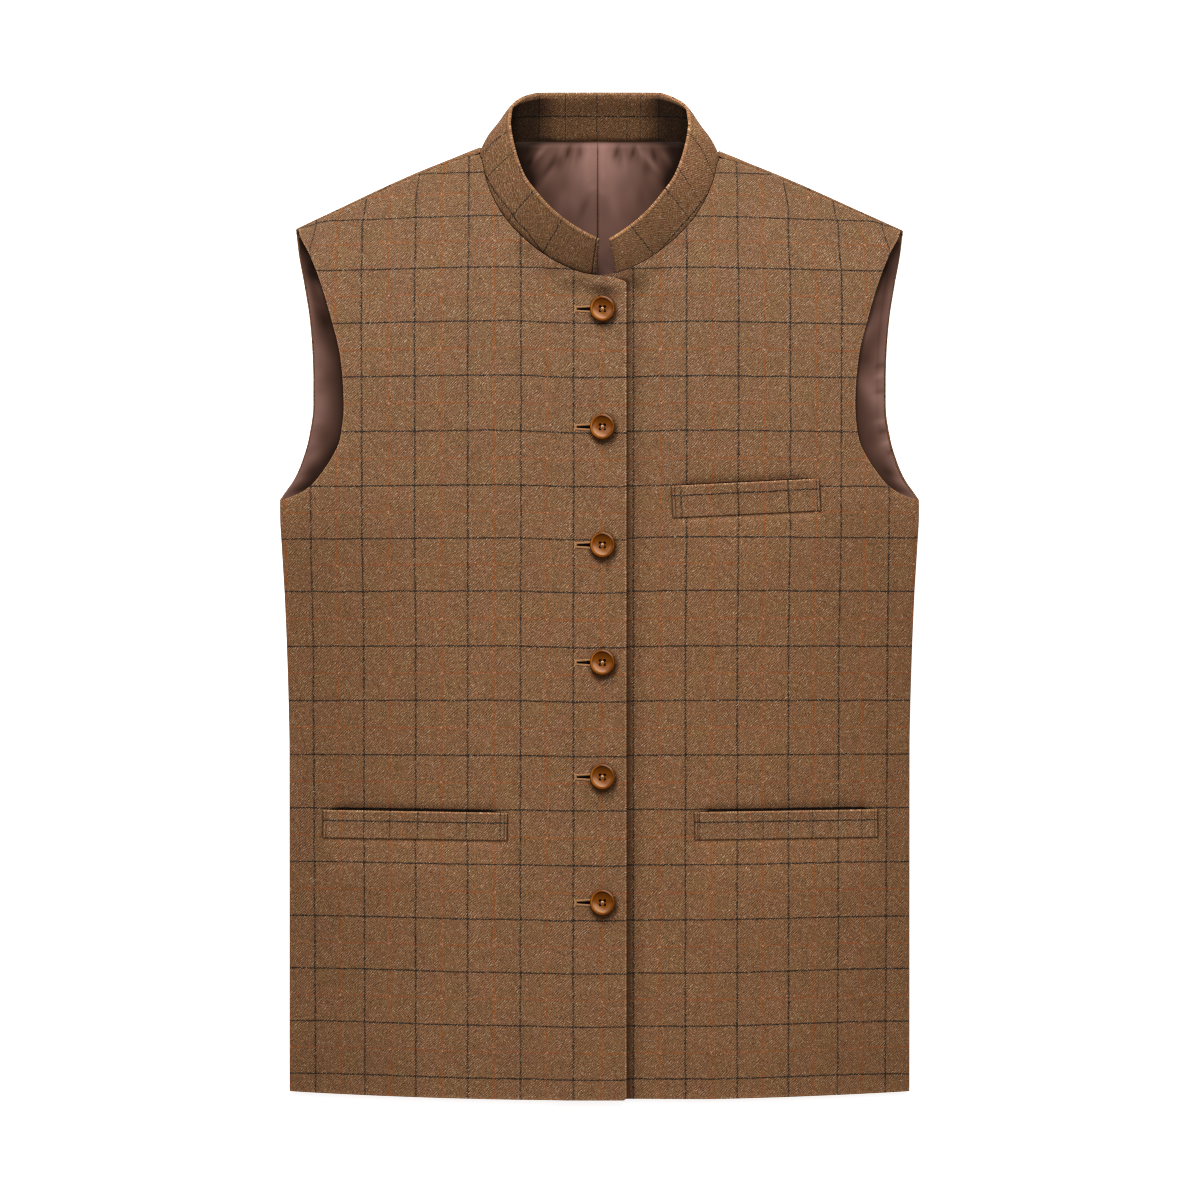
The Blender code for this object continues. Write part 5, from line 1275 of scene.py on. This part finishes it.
def object_from(name, points, faces, mat, smooth_angle=40.0):
    mesh = bpy.data.meshes.new(name)
    mesh.from_pydata([tuple(c * 0.001 for c in p) for p in points], [], faces)
    mesh.update()
    bm = bmesh.new()
    bm.from_mesh(mesh)
    bmesh.ops.recalc_face_normals(bm, faces=bm.faces)
    bm.to_mesh(mesh)
    bm.free()
    mesh.materials.append(mat)
    mesh.shade_smooth()
    mesh.set_sharp_from_angle(angle=math.radians(smooth_angle))
    obj = bpy.data.objects.new(name, mesh)
    bpy.context.scene.collection.objects.link(obj)
    return obj


def button_mesh():
    r, h = BUTTON_D / 2, BUTTON_H
    profile = [(0.0, 0.0), (r - 2.2, 0.0), (r - 1.1, 0.12), (r - 0.4, 0.38), (r - 0.06, 0.75), (r, 1.1), (r - 0.08, 1.7), (r - 0.24, 2.3)]
    rim_c, rim_r = r - 1.20, 0.80
    for a in (10, 30, 50, 70, 90, 110, 130, 150, 170):
        profile.append((rim_c + rim_r * math.cos(math.radians(a)), h - 0.62 + 0.62 * math.sin(math.radians(a))))
    # the face is a bowl, steepest beside the rim
    for rr, z in ((7.48, 2.60), (7.40, 2.42), (7.22, 2.25), (6.9, 2.10), (6.4, 1.95), (5.6, 1.77), (5.0, 1.66), (4.2, 1.56), (3.3, 1.49), (2.3, 1.44), (1.2, 1.42), (0.0, 1.41)):
        profile.append((rr, z))
    return lathe(profile, 72)


def cut_holes(obj):
    bm = bmesh.new()
    for sx in (-1, 1):
        for sy in (-1, 1):
            made_cone = bmesh.ops.create_cone(bm, cap_ends=True, segments=20, radius1=0.00118, radius2=0.00118, depth=0.012)
            bmesh.ops.translate(bm, verts=made_cone["verts"], vec=(sx * 0.00166, sy * 0.0015, 0.001))
    mesh = bpy.data.meshes.new("cutter")
    bm.to_mesh(mesh)
    bm.free()
    cutter = bpy.data.objects.new("cutter", mesh)
    bpy.context.scene.collection.objects.link(cutter)
    cut = obj.modifiers.new("holes", "BOOLEAN")
    cut.operation, cut.solver, cut.object = "DIFFERENCE", "EXACT", cutter
    bpy.context.view_layer.update()
    done = bpy.data.meshes.new_from_object(obj.evaluated_get(bpy.context.evaluated_depsgraph_get()))
    obj.modifiers.clear()
    old = obj.data
    obj.data = done
    bpy.data.meshes.remove(old)
    bpy.data.objects.remove(cutter, do_unlink=True)
    obj.data.shade_smooth()
    obj.data.set_sharp_from_angle(angle=math.radians(40))


def tube(points, radius, sides=8, twist=None):
    """A closed tube along points, its radius a number or one for each point."""
    p = np.asarray(points, float)
    r = np.broadcast_to(np.asarray(radius, float), (len(p),))
    d = unit(np.gradient(p, axis=0))
    up = np.array([0.0, 0.0, 1.0])
    a = unit(np.cross(d, up) + 1e-9)
    b = np.cross(a, d)
    verts, faces = [], []
    for k in range(len(p)):
        for j in range(sides):
            t = 2 * math.pi * j / sides
            verts.append(p[k] + (a[k] * math.cos(t) + b[k] * math.sin(t)) * r[k])
    for k in range(len(p) - 1):
        for j in range(sides):
            n = (j + 1) % sides
            faces.append([k * sides + j, k * sides + n, (k + 1) * sides + n, (k + 1) * sides + j])
    faces.append(list(range(sides))[::-1])
    faces.append([(len(p) - 1) * sides + j for j in range(sides)])
    return verts, faces


def joined(parts):
    verts, faces = [], []
    for v, f in parts:
        base = len(verts)
        verts += [tuple(x) for x in v]
        faces += [[i + base for i in face] for face in f]
    return verts, faces


button_points, button_faces = button_mesh()
TILTS = [(-15.0, 2.0), (-15.5, -1.5), (-14.5, 2.0), (-15.0, -1.0), (-16.0, 1.0), (-15.0, 1.5)]
first = None
for number, by in enumerate(BUTTON_Y, 1):
    z0 = float(front_z(BUTTON_X, by, -1)) + GAP + 0.1
    if first is None:
        obj = object_from("turned_button_1", button_points, button_faces, BUTTON)
        cut_holes(obj)
        first = obj.data
    else:
        obj = bpy.data.objects.new(f"turned_button_{number}", first.copy())
        bpy.context.scene.collection.objects.link(obj)
    tx, ty = (math.radians(t) for t in TILTS[number - 1])
    lift = BUTTON_D / 2 * max(abs(math.sin(tx)), abs(math.sin(ty)))
    obj.rotation_euler = (tx, ty, 0.0)
    obj.scale = (1.012, 1.085, 1.0)
    obj.location = (BUTTON_X * 0.001, (by - 0.3) * 0.001, (z0 + lift * 0.60) * 0.001)
    place(obj, f"button_{number}", "button_brown")
    # sewing thread: a knot of it between the holes, strands down into them, and the wound shank below
    strands = []
    for ax in (-1, 1):
        strands.append(tube([(0.1 * ax, 0.60, 1.85), (0.5 * ax, 0.85, 1.62), (0.8 * ax, 1.05, 1.2), (1.1 * ax, 1.25, 0.6)], [0.32, 0.26, 0.20, 0.16], 6))
        strands.append(tube([(0.1 * ax, 0.10, 1.75), (0.45 * ax, -0.45, 1.58), (0.8 * ax, -0.95, 1.2), (1.1 * ax, -1.2, 0.6)], [0.28, 0.22, 0.18, 0.14], 6))
    strands.append(tube([(-0.95, 0.08, 1.50), (-0.45, 0.32, 1.84), (0.0, 0.44, 2.02), (0.45, 0.32, 1.84), (0.95, 0.08, 1.50)], [0.34, 0.66, 0.82, 0.66, 0.34], 10))
    strands.append(tube([(0.0, 0.0, 0.4), (0.0, 0.15, -0.6), (0.0, 0.35, -1.7), (0.0, 0.5, -2.6)], [1.5, 1.2, 1.25, 1.7], 12))
    v, f = joined(strands)
    sew = object_from(f"button_thread_{number}", v, f, THREAD, 80)
    sew.rotation_euler, sew.location = obj.rotation_euler.copy(), obj.location.copy()
    place(sew)
    # the buttonhole: two lips of silk, a bar tack pinched in at the middle, and between them a dark strip painted as
    # the shadow in the slit
    parts = []
    zs = lambda x, y: float(front_z(x, y, -1)) + float(front_detail(np.array([x]), np.array([y]), -1)[0])
    for sign, near_off, far_off in ((1, 1.36, 2.25), (-1, 1.46, 2.50)):
        xs = np.linspace(-18.0, -3.6, 96)
        part = (xs + 18.0) / 14.4
        path = [(x, by + sign * (near_off + (far_off - near_off) * p), zs(x, by + sign * 1.6) + 0.20) for x, p in zip(xs, part)]
        parts.append(tube(path, 0.84 + 0.10 * np.sin(np.arange(96) * 2 * math.pi / 4.0), 8))
    ys = np.linspace(-3.4, 3.4, 41)
    path = [(-18.2 - 1.3 * (abs(yy) / 3.4) ** 1.6, by + yy - 0.2, zs(-18.9, by + yy) + 0.22) for yy in ys]
    parts.append(tube(path, (1.02 + 0.10 * np.sin(np.arange(41) * 2 * math.pi / 4.0)) * (1 - 0.68 * (np.abs(ys) / 3.4) ** 1.5), 8))
    v, f = joined(parts)
    hole = object_from(f"buttonhole_silk_{number}", v, f, SILK, 80)
    place(hole)
    # a dark strip laid on the cloth between the lips, painted as the shadow in the slit
    xs = np.linspace(-17.4, -3.0, 16)
    verts, faces = [], []
    for x in xs:
        wide = 0.56 + 0.76 * (x + 17.4) / 14.4
        for yy, dz in ((-wide, 0.0), (wide, 0.0), (wide, -0.5), (-wide, -0.5)):
            verts.append((x, by - 0.05 + yy, zs(x, by - 0.05 + yy) + 0.24 + dz))
    for k in range(len(xs) - 1):
        for j in range(4):
            n = (j + 1) % 4
            faces.append([4 * k + j, 4 * k + n, 4 * (k + 1) + n, 4 * (k + 1) + j])
    faces += [[0, 1, 2, 3], [4 * (len(xs) - 1) + j for j in (3, 2, 1, 0)]]
    place(object_from(f"buttonhole_slit_shadow_{number}", verts, faces, SLIT_SHADOW))

# ------------------------------------------------------------------ stage, light and camera
scene = bpy.context.scene


def floor_material():
    g = Graph("floor")
    coord = g.node("ShaderNodeTexCoord").outputs["Object"]
    cloud = g.noise(coord, 3.0, 2.0, 0.5, dims="3D")
    g.link(g.ramp(cloud, [(0.0, (0.93, 0.93, 0.93)), (1.0, (0.95, 0.95, 0.95))]), g.shader.inputs["Base Color"])
    # a lit table, so that no shadow greys the ground
    g.shader.inputs["Emission Color"].default_value = (1.0, 1.0, 1.0, 1.0)
    g.shader.inputs["Emission Strength"].default_value = 0.6
    g.shader.inputs["Roughness"].default_value = 0.9
    g.shader.inputs["Specular IOR Level"].default_value = 0.1
    return g.mat


floor = object_from("floor", [(-30000, -30000, -0.2), (30000, -30000, -0.2), (30000, 30000, -0.2), (-30000, 30000, -0.2)], [[0, 1, 2, 3]], floor_material())

world = bpy.data.worlds.new("studio")
scene.world = world
world.use_nodes = True
world.node_tree.nodes["Background"].inputs["Color"].default_value = (1.0, 1.0, 1.0, 1.0)
world.node_tree.nodes["Background"].inputs["Strength"].default_value = 0.50


def area_light(name, location, target, size, energy, size_y=None):
    data = bpy.data.lights.new(name, "AREA")
    data.energy = energy
    data.size = size
    if size_y:
        data.shape = "RECTANGLE"
        data.size_y = size_y
    obj = bpy.data.objects.new(name, data)
    bpy.context.scene.collection.objects.link(obj)
    obj.location = location
    direction = np.array(target) - np.array(location)
    from mathutils import Vector

    obj.rotation_euler = Vector(direction).to_track_quat("-Z", "Y").to_euler()
    return obj


area_light("key", (-0.6, 1.95, 1.8), (0, 0, 0), 1.0, 62.0)
area_light("softbox", (0.9, 1.5, 2.4), (0, 0, 0), 0.5, 20.0)

cam_data = bpy.data.cameras.new("camera")
cam_data.lens = 250.0
cam_data.sensor_width = 36.0
cam_data.clip_start, cam_data.clip_end = 0.1, 100.0
cam = bpy.data.objects.new("camera", cam_data)
scene.collection.objects.link(cam)
PIXEL = 0.00076
distance = 1200 * PIXEL / (36.0 / 250.0)
cam.location = (0.5 * PIXEL, -3.5 * PIXEL, distance + 0.008)
cam.rotation_euler = (0, 0, 0)
scene.camera = cam
scene.view_settings.view_transform = "Standard"
scene.view_settings.look = "None"
# keep the weave crisp: the denoiser takes the colour pass as it is
scene.cycles.denoising_prefilter = "NONE"
scene.cycles.filter_width = 1.15

bpy.context.view_layer.update()
